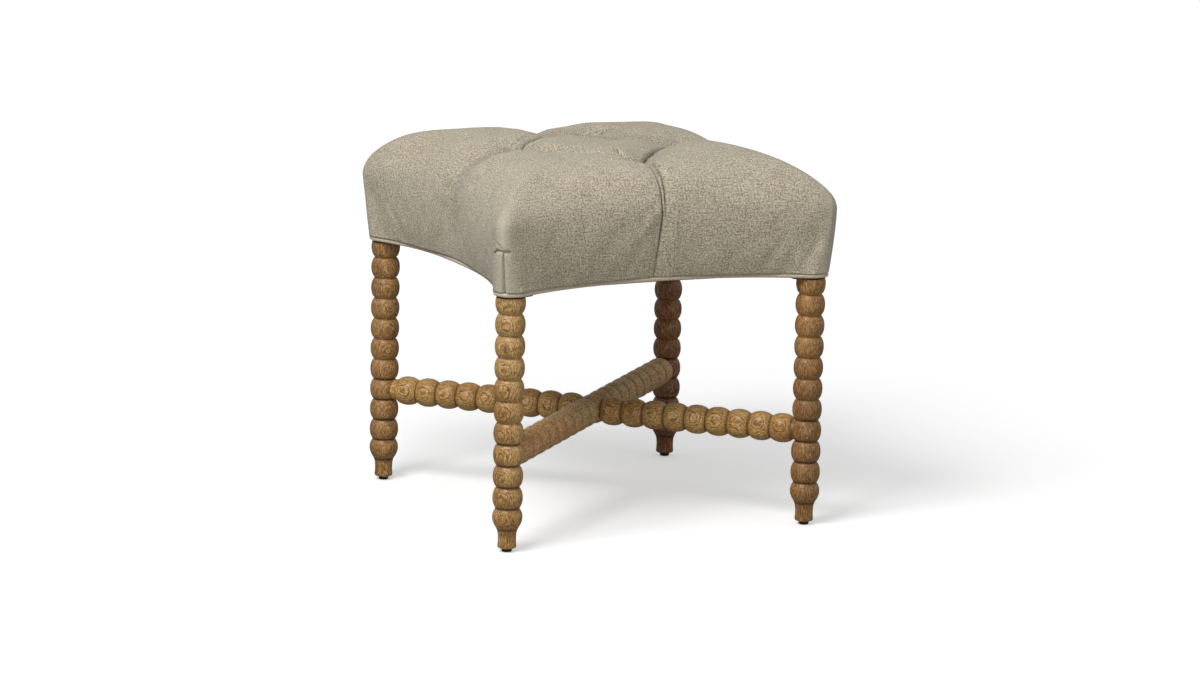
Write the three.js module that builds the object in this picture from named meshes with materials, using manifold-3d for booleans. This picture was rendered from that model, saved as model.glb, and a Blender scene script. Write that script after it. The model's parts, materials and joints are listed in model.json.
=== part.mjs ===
// A square footstool: a tufted linen seat with scooped sides on four bobbin-turned legs,
// braced by two bobbin-turned stretchers that cross in an X.
// Millimetres, +Z up, +X to the right, +Y to the back, origin on the floor under the middle.

import * as THREE from 'three';
import { mergeVertices } from 'three/addons/utils/BufferGeometryUtils.js';
import Module from 'manifold-3d';

const wasm = await Module();
wasm.setup();

// Fits
const clearance = 0.3; // left between two pieces that touch
const boreClearance = 0.4; // between a rod and its hole, measured on the radius
const overrun = 5; // how far a cutting body runs past what it cuts

// Legs
const legInset = 14.2; // from the frame's outer faces in to the legs' axes
const legBeadPitch = 30;
const beadRadius = 20.75;
const waistRadius = 16.4; // in the notch between two beads
const lowestWaistHeight = 60.4; // the notch between the lowest bead and the foot
const bulbRadius = 20.85; // the foot's bulb, swept in to a slim ankle
const bulbHeight = 48;
const neckRadius = 14.2;
const neckHeight = 31;
const ankleRadius = 12.6;
const ankleHeight = 22;
const toeRadius = 12.9;
const toeHeight = 7;
const soleRadius = 8;
const stretcherBead = 3; // the stretchers join this bead, counted up from the foot

// Glides, nailed up into the feet
const glideRadius = 7;
const glideEdgeRadius = 5.6;
const glideThickness = 3.8;
const glideNailRadius = 1.2;
const glideNailLength = 14;

// Stretchers
const stretcherBeads = 19;
const stretcherWaistRadius = 16.5;
const tenonRadius = 8;
const tenonLength = 16;
const crossPointReach = 17; // from the crossing to the point of the lower stretcher's mitred halves
const tongueHalfWidth = 11; // the lower stretcher's tongue, let into the upper one from below
const tongueGrip = 8; // how far the tongue runs on into each half
const pinRadius = 3;
const pinReach = 10; // how far the pin stands up into the upper stretcher
const pinRecess = 2; // between the pin's lower end and the underside of the tongue

// Seat frame
const frameHeight = 353.5; // from the floor to the underside of the corner posts
const frameInset = 20.8; // from the seat's shoulder in to the posts' outer faces
const frameDepth = 73.5;
const postSize = 44;
const railThickness = 22;
const railTenonLength = 15;
const railTenonThickness = 12;
const railTenonShoulder = 14; // cut off above and below each rail tenon
const archRise = 2.5; // how much the lower edge rises in the middle of each side

// Hanger bolts, which hold the legs to the posts
const boltRadius = 4;
const boltInLeg = 45;
const boltSeatHeight = 40; // from the underside of the post to the washer
const boltStandOut = 3; // thread standing out of the nut
const washerRadius = 9;
const washerThickness = 1.6;
const nutAcrossFlats = 13;
const nutThickness = 6.5;
const nutSides = 6;
const wrenchWellRadius = 11;

// Seat deck and its screws
const deckThickness = 12;
const screwRadius = 2;
const screwHeadRadius = 4;
const screwHeadThickness = 2.2;
const screwInRail = 18;
const screwSpread = 120; // from the middle of a side to each of its screws
const tieHoleRadius = 3.5;

// Seat form
const seatReach = 263; // from the middle to the shoulder, as if the corners were sharp
const shoulderRise = 24.7; // from the top of the frame to where the seat is widest
const crownRise = 74.6; // from there to the crest of the crown
const scoopDepth = 38.5; // how far each side is drawn in at its middle
const earLength = 25.5; // the frame's straight stretch beside each corner, over the leg
const shoulderEarLength = 20; // the same at the shoulder
const coverThickness = 1.6;
const edgeWaddingThickness = 4.1;
const tuftReach = 127; // from the middle to each of the four tufts
const tuftDepth = 31;
const tuftSpread = 21;
const foldDepth = 8; // the diamond of folds that joins the tufts
const foldSpread = 13;
const pleatDepth = 10; // the pleat from each tuft over the shoulder and down the side
const pleatSpread = 14;
const crownPower = 6.4; // how flat the crown is before it turns down
const crownRoot = 1.8;
const shoulderRoundness = 16; // exponents of the outline's corners, a square has no end to them
const footRoundness = 50;
const scoopPower = 3;

// Tuft ties and their toggles under the deck
const tieRadius = 1.2;
const tieHeadRadius = 1.9;
const tieHeadThickness = 0.8;
const knotRadius = 3;
const toggleRadius = 9;
const toggleThickness = 3;

// Welt and dust cover
const weltRadius = 3;
const dustCoverThickness = 0.8;
const dustCoverInset = 4; // from the frame's outer face to the edge of the cloth

// Facets
const legSides = 12;
const stretcherSides = 10;
const smallSides = 8;
const weltSides = 6;
const legBeadSteps = 4;
const stretcherBeadSteps = 3;

// The foot's swell from its neck up to its bulb, as shares of the way out and of the way up
const footSwellShares = [[0.5, 0.33], [0.8, 0.67]];
// Heights on a knot, as shares of its radius down from its top: foot, lower edge, upper edge
const knotShares = [2, 1.5, 0.5];
// Places round the seat, as shares of half a side from its middle to the corner
const sideShares = [0, 0.1, 0.38, 0.66, 0.86, 0.97];
// Rings of the seat from the shoulder in to the diamond of tufts, as shares of the way
const crownShares = [0.985, 0.93, 0.82, 0.64, 0.42, 0.2, 0.07, 0];
// Rings inside the diamond, as shares of its size
const diamondShares = [0.62, 0.28];

// Heights and lengths that follow
const frameReach = seatReach - frameInset; // from the middle to the posts' outer faces
const legReach = frameReach - legInset;
const legTop = frameHeight - clearance;
const soleHeight = glideThickness + clearance;
const stretcherHeight = lowestWaistHeight + (stretcherBead - 0.5) * legBeadPitch;
const crossSpan = 2 * legReach * Math.SQRT2;
const stretcherLength = crossSpan - 2 * beadRadius;
const stretcherPitch = stretcherLength / stretcherBeads;
const frameTop = frameHeight + frameDepth;
const shoulderHeight = frameTop + shoulderRise;
const seatTop = shoulderHeight + crownRise;
const railUnderside = frameHeight + archRise + clearance;
const washerFoot = frameHeight + boltSeatHeight + clearance;
const washerTop = washerFoot + washerThickness;
const nutFoot = washerTop + clearance;
const nutTop = nutFoot + nutThickness;
const deckUnderside = frameTop + clearance;
const deckTop = deckUnderside + deckThickness;
const padUnderside = deckTop + clearance;
const weltHeight = frameHeight + weltRadius + clearance / 2;
const weltOffset = clearance + weltRadius; // from the frame out to the middle of the welt
const coverFoot = weltHeight + weltRadius + clearance;
const padDepthIn = coverThickness + clearance; // from the cover's outer face in to the pad
const footOffset = clearance + edgeWaddingThickness + padDepthIn; // from the frame out to the cover's face

const finishes = {
  oak: { color: 0xa4773f, roughness: 0.5, metalness: 0 },
  frameWood: { color: 0xc9a878, roughness: 0.8, metalness: 0 },
  plywood: { color: 0xcfb287, roughness: 0.8, metalness: 0 },
  linen: { color: 0xb0a68e, roughness: 0.95, metalness: 0 },
  weltLinen: { color: 0xcdc3ae, roughness: 0.95, metalness: 0 },
  foam: { color: 0xe6dfc8, roughness: 1, metalness: 0 },
  wadding: { color: 0xf0eee8, roughness: 1, metalness: 0 },
  cambric: { color: 0x2c2b2a, roughness: 1, metalness: 0 },
  steel: { color: 0xa9abad, roughness: 0.35, metalness: 1 },
  blackNylon: { color: 0x1d1c1b, roughness: 0.5, metalness: 0 },
  twine: { color: 0xd8cfb8, roughness: 0.9, metalness: 0 },
};

const corners = [
  { name: 'front_left', x: -1, y: -1 },
  { name: 'front_right', x: 1, y: -1 },
  { name: 'back_right', x: 1, y: 1 },
  { name: 'back_left', x: -1, y: 1 },
];

const sides = [
  { name: 'right', quarterTurns: 0 },
  { name: 'back', quarterTurns: 1 },
  { name: 'left', quarterTurns: 2 },
  { name: 'front', quarterTurns: 3 },
];

const stool = new THREE.Group();

function addPiece(name, geometry, finish, x, y, turn) {
  const piece = new THREE.Mesh(geometry, new THREE.MeshStandardMaterial(finish));
  piece.name = name;
  piece.position.set(x, y, 0);
  piece.rotation.z = turn;
  stool.add(piece);
}

// Solids: a closed geometry becomes a solid that can be joined and cut, and turns back

function solidOf(geometry) {
  const bare = geometry.clone();
  bare.deleteAttribute('normal');
  bare.deleteAttribute('uv');
  const merged = mergeVertices(bare);
  const corner = merged.index.array;
  const kept = [];
  for (let i = 0; i < corner.length; i += 3) {
    const [a, b, c] = [corner[i], corner[i + 1], corner[i + 2]];
    if (a !== b && b !== c && c !== a) {
      kept.push(a, b, c);
    }
  }
  const vertProperties = new Float32Array(merged.attributes.position.array);
  const triVerts = new Uint32Array(kept);
  return new wasm.Manifold(new wasm.Mesh({ numProp: 3, vertProperties, triVerts }));
}

function geometryOf(solid) {
  const mesh = solid.getMesh();
  const geometry = new THREE.BufferGeometry();
  geometry.setAttribute('position', new THREE.BufferAttribute(mesh.vertProperties, 3));
  geometry.setIndex(new THREE.BufferAttribute(mesh.triVerts, 1));
  return geometry;
}

// A body turned about the Z axis; the profile is a list of [radius, height] from the foot up
function turned(profile, facets) {
  const points = profile.map(([radius, height]) => new THREE.Vector2(radius, height));
  return new THREE.LatheGeometry(points, facets).rotateX(Math.PI / 2);
}

function rod(radius, from, to, facets) {
  return turned([[0, from], [radius, from], [radius, to], [0, to]], facets);
}

// A ring about the Z axis, whose profile closes on itself
function ring(innerRadius, outerRadius, from, to, facets) {
  const profile = [[innerRadius, from], [outerRadius, from], [outerRadius, to], [innerRadius, to]];
  return turned([...profile, profile[0]], facets);
}

function slab(points, from, to) {
  const shape = new THREE.Shape(points);
  const extruded = new THREE.ExtrudeGeometry(shape, { depth: to - from, bevelEnabled: false });
  return extruded.translate(0, 0, from);
}

function block(fromX, toX, fromY, toY, fromZ, toZ) {
  const box = new THREE.BoxGeometry(toX - fromX, toY - fromY, toZ - fromZ);
  return box.translate((fromX + toX) / 2, (fromY + toY) / 2, (fromZ + toZ) / 2);
}

// Beads: a bead is an arc that drops from its full radius to the notch at each end
function beadRadiusAt(offset, pitch, fullRadius, notchRadius) {
  const half = pitch / 2;
  const drop = fullRadius - notchRadius;
  const arc = (half * half + drop * drop) / (2 * drop);
  return fullRadius - arc + Math.sqrt(arc * arc - offset * offset);
}

// Legs

function footProfile(spare) {
  const shoulder = beadRadiusAt(legBeadPitch / 4, legBeadPitch, bulbRadius, waistRadius);
  const swell = footSwellShares.map(([out, up]) => [
    neckRadius + (bulbRadius - neckRadius) * out,
    neckHeight + (bulbHeight - neckHeight) * up,
  ]);
  return [
    [soleRadius, soleHeight],
    [toeRadius, toeHeight],
    [ankleRadius, (toeHeight + ankleHeight) / 2],
    [ankleRadius, ankleHeight],
    [neckRadius, neckHeight],
    ...swell,
    [bulbRadius, bulbHeight],
    [shoulder, (bulbHeight + lowestWaistHeight) / 2],
  ].map(([radius, height]) => [radius + spare, height]);
}

// The leg's outline from the sole to its top; spare thickens it into the shape that a neighbour clears
function legProfile(spare) {
  const profile = [[0, soleHeight], ...footProfile(spare)];
  const step = legBeadPitch / legBeadSteps;
  const steps = Math.floor((legTop - lowestWaistHeight) / step);
  for (let i = 0; i <= steps; i += 1) {
    const along = i * step;
    const offset = (along % legBeadPitch) - legBeadPitch / 2;
    const radius = beadRadiusAt(offset, legBeadPitch, beadRadius, waistRadius);
    profile.push([radius + spare, lowestWaistHeight + along]);
  }
  const topOffset = ((legTop - lowestWaistHeight) % legBeadPitch) - legBeadPitch / 2;
  profile.push([beadRadiusAt(topOffset, legBeadPitch, beadRadius, waistRadius) + spare, legTop]);
  profile.push([0, legTop]);
  return profile;
}

// A leg on its own axis, with its mortise towards +X
function legGeometry() {
  const body = solidOf(turned(legProfile(0), legSides));
  const boltFoot = legTop - boltInLeg - clearance;
  const boltHole = rod(boltRadius + boreClearance, boltFoot, legTop + overrun, smallSides);
  const nailTop = soleHeight + glideNailLength;
  const nailHole = rod(glideNailRadius + boreClearance, soleHeight - overrun, nailTop, smallSides);
  const mortiseFloor = beadRadius - tenonLength - clearance;
  const mortise = rod(tenonRadius + boreClearance, mortiseFloor, beadRadius + overrun, stretcherSides)
    .rotateY(Math.PI / 2)
    .translate(0, 0, stretcherHeight);
  return geometryOf(body
    .subtract(solidOf(boltHole))
    .subtract(solidOf(nailHole))
    .subtract(solidOf(mortise)));
}

function glideGeometry() {
  const nailTop = glideThickness + glideNailLength;
  return turned([
    [0, 0],
    [glideEdgeRadius, 0],
    [glideRadius, glideRadius - glideEdgeRadius],
    [glideRadius, glideThickness],
    [glideNailRadius, glideThickness],
    [glideNailRadius, nailTop - 2 * glideNailRadius],
    [0, nailTop],
  ], legSides);
}

function addLegs() {
  const leg = legGeometry();
  const glide = glideGeometry();
  for (const { name, x, y } of corners) {
    addPiece(`leg_${name}`, leg, finishes.oak, x * legReach, y * legReach, Math.atan2(-y, -x));
    addPiece(`glide_${name}`, glide, finishes.blackNylon, x * legReach, y * legReach, 0);
  }
}

// Stretchers, each built along X with its middle on the origin

function stretcherBody(spare) {
  const profile = [[0, -crossSpan / 2], [stretcherWaistRadius + spare, -crossSpan / 2]];
  const steps = stretcherBeads * stretcherBeadSteps;
  for (let i = 0; i <= steps; i += 1) {
    const along = (i / stretcherBeadSteps) * stretcherPitch;
    const nearBead = Math.min(Math.floor(i / stretcherBeadSteps), stretcherBeads - 1);
    const offset = along - (nearBead + 0.5) * stretcherPitch;
    const radius = beadRadiusAt(offset, stretcherPitch, beadRadius, stretcherWaistRadius);
    profile.push([radius + spare, along - stretcherLength / 2]);
  }
  profile.push([stretcherWaistRadius + spare, crossSpan / 2], [0, crossSpan / 2]);
  return solidOf(turned(profile, stretcherSides).rotateY(Math.PI / 2));
}

// The ends are scribed to the legs' beads, and a round tenon enters each leg
function fitEnds(body) {
  const tenonEnd = crossSpan / 2 - beadRadius + tenonLength;
  let fitted = body;
  for (const end of [-1, 1]) {
    const legEnvelope = turned(legProfile(clearance), legSides);
    fitted = fitted.subtract(solidOf(legEnvelope.translate((end * crossSpan) / 2, 0, -stretcherHeight)));
  }
  const tenons = rod(tenonRadius, -tenonEnd, tenonEnd, stretcherSides).rotateY(Math.PI / 2);
  return fitted.add(solidOf(tenons));
}

function upperStretcherSolid() {
  const slotHalfWidth = tongueHalfWidth + clearance;
  const slot = block(
    -slotHalfWidth, slotHalfWidth,
    -beadRadius - overrun, beadRadius + overrun,
    -beadRadius - overrun, clearance / 2,
  );
  const pinHole = rod(pinRadius + boreClearance, -overrun, pinReach + clearance, smallSides);
  return fitEnds(stretcherBody(0)).subtract(solidOf(slot)).subtract(solidOf(pinHole));
}

// The lower stretcher is cut to a point on each side of the upper one, and its tongue passes under it
function lowerStretcherSolid() {
  const wide = beadRadius + overrun;
  const far = crossPointReach + wide;
  const bowTie = [
    new THREE.Vector2(crossPointReach, 0),
    new THREE.Vector2(far, wide),
    new THREE.Vector2(-far, wide),
    new THREE.Vector2(-crossPointReach, 0),
    new THREE.Vector2(-far, -wide),
    new THREE.Vector2(far, -wide),
  ];
  const upperEnvelope = geometryOf(stretcherBody(clearance)).rotateZ(Math.PI / 2);
  const tongueReach = crossPointReach + tongueGrip;
  const tongueCore = rod(stretcherWaistRadius, -tongueReach, tongueReach, stretcherSides);
  const tongueTrim = block(
    -tongueReach - overrun, tongueReach + overrun,
    -tongueHalfWidth, tongueHalfWidth,
    -stretcherWaistRadius - overrun, -clearance / 2,
  );
  const tongue = solidOf(tongueCore.rotateY(Math.PI / 2)).intersect(solidOf(tongueTrim));
  const pinHole = rod(pinRadius + boreClearance, -stretcherWaistRadius - overrun, overrun, smallSides);
  return fitEnds(stretcherBody(0))
    .subtract(solidOf(slab(bowTie, -wide, wide)))
    .subtract(solidOf(upperEnvelope))
    .add(tongue)
    .subtract(solidOf(pinHole));
}

function addStretchers() {
  const upper = geometryOf(upperStretcherSolid()).translate(0, 0, stretcherHeight);
  const lower = geometryOf(lowerStretcherSolid()).translate(0, 0, stretcherHeight);
  const pinFoot = stretcherHeight - stretcherWaistRadius + pinRecess;
  const pin = rod(pinRadius, pinFoot, stretcherHeight + pinReach, smallSides);
  addPiece('stretcher_upper', upper, finishes.oak, 0, 0, Math.PI / 4);
  addPiece('stretcher_lower', lower, finishes.oak, 0, 0, -Math.PI / 4);
  addPiece('stretcher_pin', pin, finishes.frameWood, 0, 0, 0);
}

// Outlines: a square whose sides are scooped in between straight ears at the corners

const frameLine = { reach: frameReach, ear: earLength, roundness: footRoundness };
const shoulderLine = { reach: seatReach, ear: shoulderEarLength, roundness: shoulderRoundness };

// How far a side is from the centre at this place along it
function edgeReach({ reach, ear }, along) {
  const scoopShare = Math.min(1, Math.abs(along) / (reach - ear));
  return reach - scoopDepth * (1 - scoopShare ** scoopPower);
}

// Places round a unit square, anticlockwise from the lower end of the right side
function unitSquare() {
  const oneSide = [...sideShares.slice(1).reverse().map((share) => -share), ...sideShares];
  return [
    ...oneSide.map((share) => [1, share]),
    ...oneSide.map((share) => [-share, 1]),
    ...oneSide.map((share) => [-1, -share]),
    ...oneSide.map((share) => [share, -1]),
  ];
}

const places = unitSquare();

function outline(line) {
  const { reach, roundness } = line;
  return places.map(([u, v]) => {
    const pull = (Math.abs(u) ** roundness + Math.abs(v) ** roundness) ** (-1 / roundness);
    const [a, b] = [u * pull, v * pull];
    return [a * edgeReach(line, b * reach), b * edgeReach(line, a * reach)];
  });
}

// The same outline moved out by a distance, each edge staying parallel to itself
function offsetOutline(points, distance) {
  return points.map(([x, y], i) => {
    const [aheadX, aheadY] = points[(i + 1) % points.length];
    const [behindX, behindY] = points[(i + points.length - 1) % points.length];
    const outAhead = new THREE.Vector2(aheadY - y, x - aheadX).normalize();
    const outBehind = new THREE.Vector2(y - behindY, behindX - x).normalize();
    const mitre = distance / (1 + outAhead.dot(outBehind));
    return [x + (outAhead.x + outBehind.x) * mitre, y + (outAhead.y + outBehind.y) * mitre];
  });
}

// How much the lower edge is lifted at a place round the square
function archAt([u, v]) {
  const along = Math.min(Math.abs(u), Math.abs(v));
  return archRise * (1 - along ** scoopPower);
}

// Seat surface: rings of places, each ring as long as the unit square's list

function gaussian(distance, spread) {
  return Math.exp(-((distance / spread) ** 2));
}

// The pleat that runs out from the nearest tuft, 0 where there is none
function pleatAt(x, y) {
  const out = Math.max(Math.abs(x), Math.abs(y));
  const beside = Math.min(Math.abs(x), Math.abs(y));
  const beyond = Math.max(0, out - tuftReach);
  return pleatDepth * gaussian(beside, pleatSpread) * (1 - gaussian(beyond, tuftSpread));
}

// The share of the seat's half size at which a place on the crown lies, 1 at the shoulder
function crownReach(x, y) {
  const acrossX = Math.abs(x) / edgeReach(shoulderLine, y);
  const acrossY = Math.abs(y) / edgeReach(shoulderLine, x);
  const across = (acrossX ** shoulderRoundness + acrossY ** shoulderRoundness) ** (1 / shoulderRoundness);
  return Math.min(1, across);
}

function crownHeight(x, y) {
  const [far, near] = [Math.max(Math.abs(x), Math.abs(y)), Math.min(Math.abs(x), Math.abs(y))];
  const turnedDown = crownReach(x, y) ** crownPower;
  const crown = (seatTop - shoulderHeight) * (1 - turnedDown) ** (1 / crownRoot);
  const tuft = tuftDepth * gaussian(Math.hypot(far - tuftReach, near), tuftSpread);
  const fold = foldDepth * gaussian((far + near - tuftReach) / Math.SQRT2, foldSpread);
  const pleat = pleatAt(x, y) * (1 - turnedDown);
  return shoulderHeight + crown - tuft - fold - pleat;
}

// Draws each place of an outline in towards the middle by its own amount
function drawnIn(points, amountAt) {
  return points.map(([x, y]) => {
    const shrink = 1 - amountAt(x, y) / Math.max(Math.abs(x), Math.abs(y));
    return [x * shrink, y * shrink];
  });
}

function between(from, to, share) {
  return from.map(([x, y], i) => [x + (to[i][0] - x) * share, y + (to[i][1] - y) * share]);
}

const footOutline = offsetOutline(outline(frameLine), footOffset);
const shoulderOutline = outline(shoulderLine);
const diamond = places.map(([u, v]) => {
  const size = tuftReach / (Math.abs(u) + Math.abs(v));
  return [u * size, v * size];
});

// Lifts an outline to a height, and on up along the arch of the lower edge where it is arched
function raised(points, height, arched) {
  return points.map(([x, y], i) => [x, y, height + (arched ? archAt(places[i]) : 0)]);
}

// A ring on the upright side at a height, depthIn inside the outer face
function sideRing(height, depthIn, arched) {
  const swell = Math.sin((((height - coverFoot) / (shoulderHeight - coverFoot)) * Math.PI) / 2);
  const plain = between(footOutline, shoulderOutline, swell);
  const pleated = drawnIn(plain, (x, y) => pleatAt(x, y) * swell);
  return raised(offsetOutline(pleated, -depthIn), height, arched);
}

// A ring on the crown, share of the way from the diamond of tufts out to the shoulder
function crownRing(share, depthIn) {
  const plain = between(diamond, shoulderOutline, share);
  const amountAt = (x, y) => depthIn * share + pleatAt(x, y) * crownReach(x, y) ** crownPower;
  return drawnIn(plain, amountAt).map(([x, y], i) => [x, y, crownHeight(...plain[i]) - depthIn]);
}

function diamondRing(share, depthIn) {
  return diamond.map(([x, y]) => [x * share, y * share, crownHeight(x * share, y * share) - depthIn]);
}

function crownRings(depthIn) {
  return [
    ...crownShares.map((share) => crownRing(share, depthIn)),
    ...diamondShares.map((share) => diamondRing(share, depthIn)),
  ];
}

// Skins a list of rings; a closing point at either end makes a cap there
function skinned(rings, firstPoint, lastPoint) {
  const positions = rings.flat(2);
  const count = places.length;
  const index = [];
  for (let r = 0; r < rings.length - 1; r += 1) {
    for (let i = 0; i < count; i += 1) {
      const next = (i + 1) % count;
      const [a, b] = [r * count + i, r * count + next];
      const [c, d] = [a + count, b + count];
      index.push(a, b, d, a, d, c);
    }
  }
  if (firstPoint) {
    const tip = positions.length / 3;
    positions.push(...firstPoint);
    for (let i = 0; i < count; i += 1) {
      index.push(tip, (i + 1) % count, i);
    }
  }
  if (lastPoint) {
    const tip = positions.length / 3;
    const start = (rings.length - 1) * count;
    positions.push(...lastPoint);
    for (let i = 0; i < count; i += 1) {
      index.push(start + i, start + ((i + 1) % count), tip);
    }
  }
  return { positions, index };
}

function geometryFrom({ positions, index }) {
  const geometry = new THREE.BufferGeometry();
  geometry.setAttribute('position', new THREE.Float32BufferAttribute(positions, 3));
  geometry.setIndex(index);
  return geometry;
}

// The rings of a shell's outer face from its foot up to the crown, at a depth inside the seat's face
function coverRings(depthIn) {
  return [
    sideRing(coverFoot, depthIn, true),
    sideRing(frameTop, depthIn, false),
    sideRing(padUnderside, depthIn, false),
    sideRing(shoulderHeight, depthIn, false),
    ...crownRings(depthIn),
  ];
}

// The cover is a thin shell, open below
function coverGeometry() {
  const outer = skinned(coverRings(0), null, [0, 0, crownHeight(0, 0)]);
  const inner = skinned(coverRings(coverThickness), null, [0, 0, crownHeight(0, 0) - coverThickness]);
  const innerStart = outer.positions.length / 3;
  const index = [...outer.index];
  for (let i = 0; i < inner.index.length; i += 3) {
    const [a, b, c] = inner.index.slice(i, i + 3);
    index.push(innerStart + a, innerStart + c, innerStart + b);
  }
  for (let i = 0; i < places.length; i += 1) {
    const next = (i + 1) % places.length;
    index.push(i, innerStart + i, innerStart + next, i, innerStart + next, next);
  }
  return geometryFrom({ positions: [...outer.positions, ...inner.positions], index });
}

// The foam pad, wrapped in bonded wadding, with a narrow hole for the twine at each tuft
function padGeometry() {
  const rings = [
    sideRing(padUnderside, padDepthIn, false),
    sideRing(shoulderHeight, padDepthIn, false),
    ...crownRings(padDepthIn),
  ];
  const top = [0, 0, crownHeight(0, 0) - padDepthIn];
  let pad = solidOf(geometryFrom(skinned(rings, [0, 0, padUnderside], top)));
  for (const [x, y] of tuftPlaces()) {
    const hole = rod(tieHeadRadius + boreClearance, padUnderside - overrun, seatTop, smallSides);
    pad = pad.subtract(solidOf(hole.translate(x, y, 0)));
  }
  return geometryOf(pad);
}

// Wadding round the frame, which fills out the side between the rails and the cover
function edgeWaddingGeometry() {
  const beside = offsetOutline(outline(frameLine), clearance);
  const rings = [
    sideRing(coverFoot, padDepthIn, true),
    sideRing(frameTop, padDepthIn, false),
    raised(beside, frameTop, false),
    raised(beside, coverFoot, true),
    sideRing(coverFoot, padDepthIn, true),
  ];
  return mergeVertices(geometryFrom(skinned(rings, null, null)));
}

function tuftPlaces() {
  return sides.map(({ quarterTurns }) => {
    const turn = (quarterTurns * Math.PI) / 2;
    return [tuftReach * Math.cos(turn), tuftReach * Math.sin(turn)];
  });
}

// Seat frame: posts and rails are cut from one outline, so their faces run on

// A slab of the frame's outline, its faces moved in by inset
function frameSlab(inset, from, to) {
  const ear = Math.max(0, earLength - inset);
  const points = outline({ reach: frameReach - inset, ear, roundness: footRoundness });
  return solidOf(slab(points.map(([x, y]) => new THREE.Vector2(x, y)), from, to));
}

// The tenon of the right rail at one of its ends, grown by spare into the mortise that takes it
function railTenon(end, spare) {
  const root = frameReach - postSize;
  const middle = edgeReach(frameLine, root) - railThickness / 2;
  const nearY = end * (root - overrun);
  const farY = end * (root + railTenonLength + spare);
  return block(
    middle - railTenonThickness / 2 - spare, middle + railTenonThickness / 2 + spare,
    Math.min(nearY, farY), Math.max(nearY, farY),
    railUnderside + railTenonShoulder - spare, frameTop - railTenonShoulder + spare,
  );
}

// The post at the back right corner
function postGeometry() {
  const inner = frameReach - postSize;
  const far = frameReach + overrun;
  const cornerBlock = solidOf(block(inner, far, inner, far, frameHeight - overrun, frameTop + overrun));
  const boltHole = rod(boltRadius + boreClearance, frameHeight - overrun, frameTop, smallSides);
  const well = rod(wrenchWellRadius, frameHeight + boltSeatHeight, frameTop + overrun, legSides);
  const sideMortise = railTenon(1, clearance);
  const backMortise = railTenon(-1, clearance).rotateZ(Math.PI / 2);
  return geometryOf(frameSlab(0, frameHeight, frameTop)
    .intersect(cornerBlock)
    .subtract(solidOf(boltHole.translate(legReach, legReach, 0)))
    .subtract(solidOf(well.translate(legReach, legReach, 0)))
    .subtract(solidOf(sideMortise))
    .subtract(solidOf(backMortise)));
}

// Where the screws of the right side stand
function screwPlaces() {
  return [-1, 1].map((end) => {
    const along = end * screwSpread;
    return [edgeReach(frameLine, along) - railThickness / 2, along];
  });
}

function railGeometry() {
  const halfLength = frameReach - postSize - clearance;
  const inward = frameReach - scoopDepth - railThickness - overrun;
  const outward = frameReach + overrun;
  const span = solidOf(block(inward, outward, -halfLength, halfLength, frameHeight, frameTop + overrun));
  let rail = frameSlab(0, railUnderside, frameTop)
    .subtract(frameSlab(railThickness, railUnderside - overrun, frameTop + overrun))
    .intersect(span);
  for (const end of [-1, 1]) {
    rail = rail.add(solidOf(railTenon(end, 0)));
  }
  const holeFoot = frameTop - screwInRail - clearance;
  for (const [x, y] of screwPlaces()) {
    const hole = rod(screwRadius + boreClearance, holeFoot, frameTop + overrun, smallSides);
    rail = rail.subtract(solidOf(hole.translate(x, y, 0)));
  }
  return geometryOf(rail);
}

function boltGeometry() {
  return rod(boltRadius, legTop - boltInLeg, nutTop + boltStandOut, smallSides);
}

function nutGeometry() {
  const cornerRadius = nutAcrossFlats / 2 / Math.cos(Math.PI / nutSides);
  const hexagon = rod(cornerRadius, nutFoot, nutTop, nutSides);
  const bore = rod(boltRadius + boreClearance, nutFoot - overrun, nutTop + overrun, smallSides);
  return geometryOf(solidOf(hexagon).subtract(solidOf(bore)));
}

function addFrame() {
  const post = postGeometry();
  const rail = railGeometry();
  const bolt = boltGeometry();
  const washer = ring(boltRadius + boreClearance, washerRadius, washerFoot, washerTop, smallSides);
  const nut = nutGeometry();
  for (const { name, x, y } of corners) {
    const turn = Math.atan2(y, x) - Math.PI / 4;
    addPiece(`corner_post_${name}`, post, finishes.frameWood, 0, 0, turn);
    addPiece(`hanger_bolt_${name}`, bolt, finishes.steel, x * legReach, y * legReach, 0);
    addPiece(`bolt_washer_${name}`, washer, finishes.steel, x * legReach, y * legReach, 0);
    addPiece(`bolt_nut_${name}`, nut, finishes.steel, x * legReach, y * legReach, 0);
  }
  for (const { name, quarterTurns } of sides) {
    addPiece(`rail_${name}`, rail, finishes.frameWood, 0, 0, (quarterTurns * Math.PI) / 2);
  }
}

// Deck

function deckGeometry() {
  let deck = frameSlab(0, deckUnderside, deckTop);
  for (const [x, y] of tuftPlaces()) {
    const hole = rod(tieHoleRadius, deckUnderside - overrun, deckTop + overrun, smallSides);
    deck = deck.subtract(solidOf(hole.translate(x, y, 0)));
  }
  for (const { quarterTurns } of sides) {
    for (const [x, y] of screwPlaces()) {
      const turn = (quarterTurns * Math.PI) / 2;
      const shank = rod(screwRadius + boreClearance, deckUnderside - overrun, deckTop, smallSides);
      const headSeat = deckTop - screwHeadThickness - 2 * clearance;
      const head = rod(screwHeadRadius + boreClearance, headSeat, deckTop + overrun, smallSides);
      deck = deck
        .subtract(solidOf(shank.translate(x, y, 0).rotateZ(turn)))
        .subtract(solidOf(head.translate(x, y, 0).rotateZ(turn)));
    }
  }
  return geometryOf(deck);
}

function screwGeometry() {
  const headFoot = deckTop - screwHeadThickness - clearance;
  return turned([
    [0, frameTop - screwInRail],
    [screwRadius, frameTop - screwInRail + 2 * screwRadius],
    [screwRadius, headFoot],
    [screwHeadRadius, headFoot],
    [screwHeadRadius, headFoot + screwHeadThickness],
    [0, headFoot + screwHeadThickness],
  ], smallSides);
}

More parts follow.
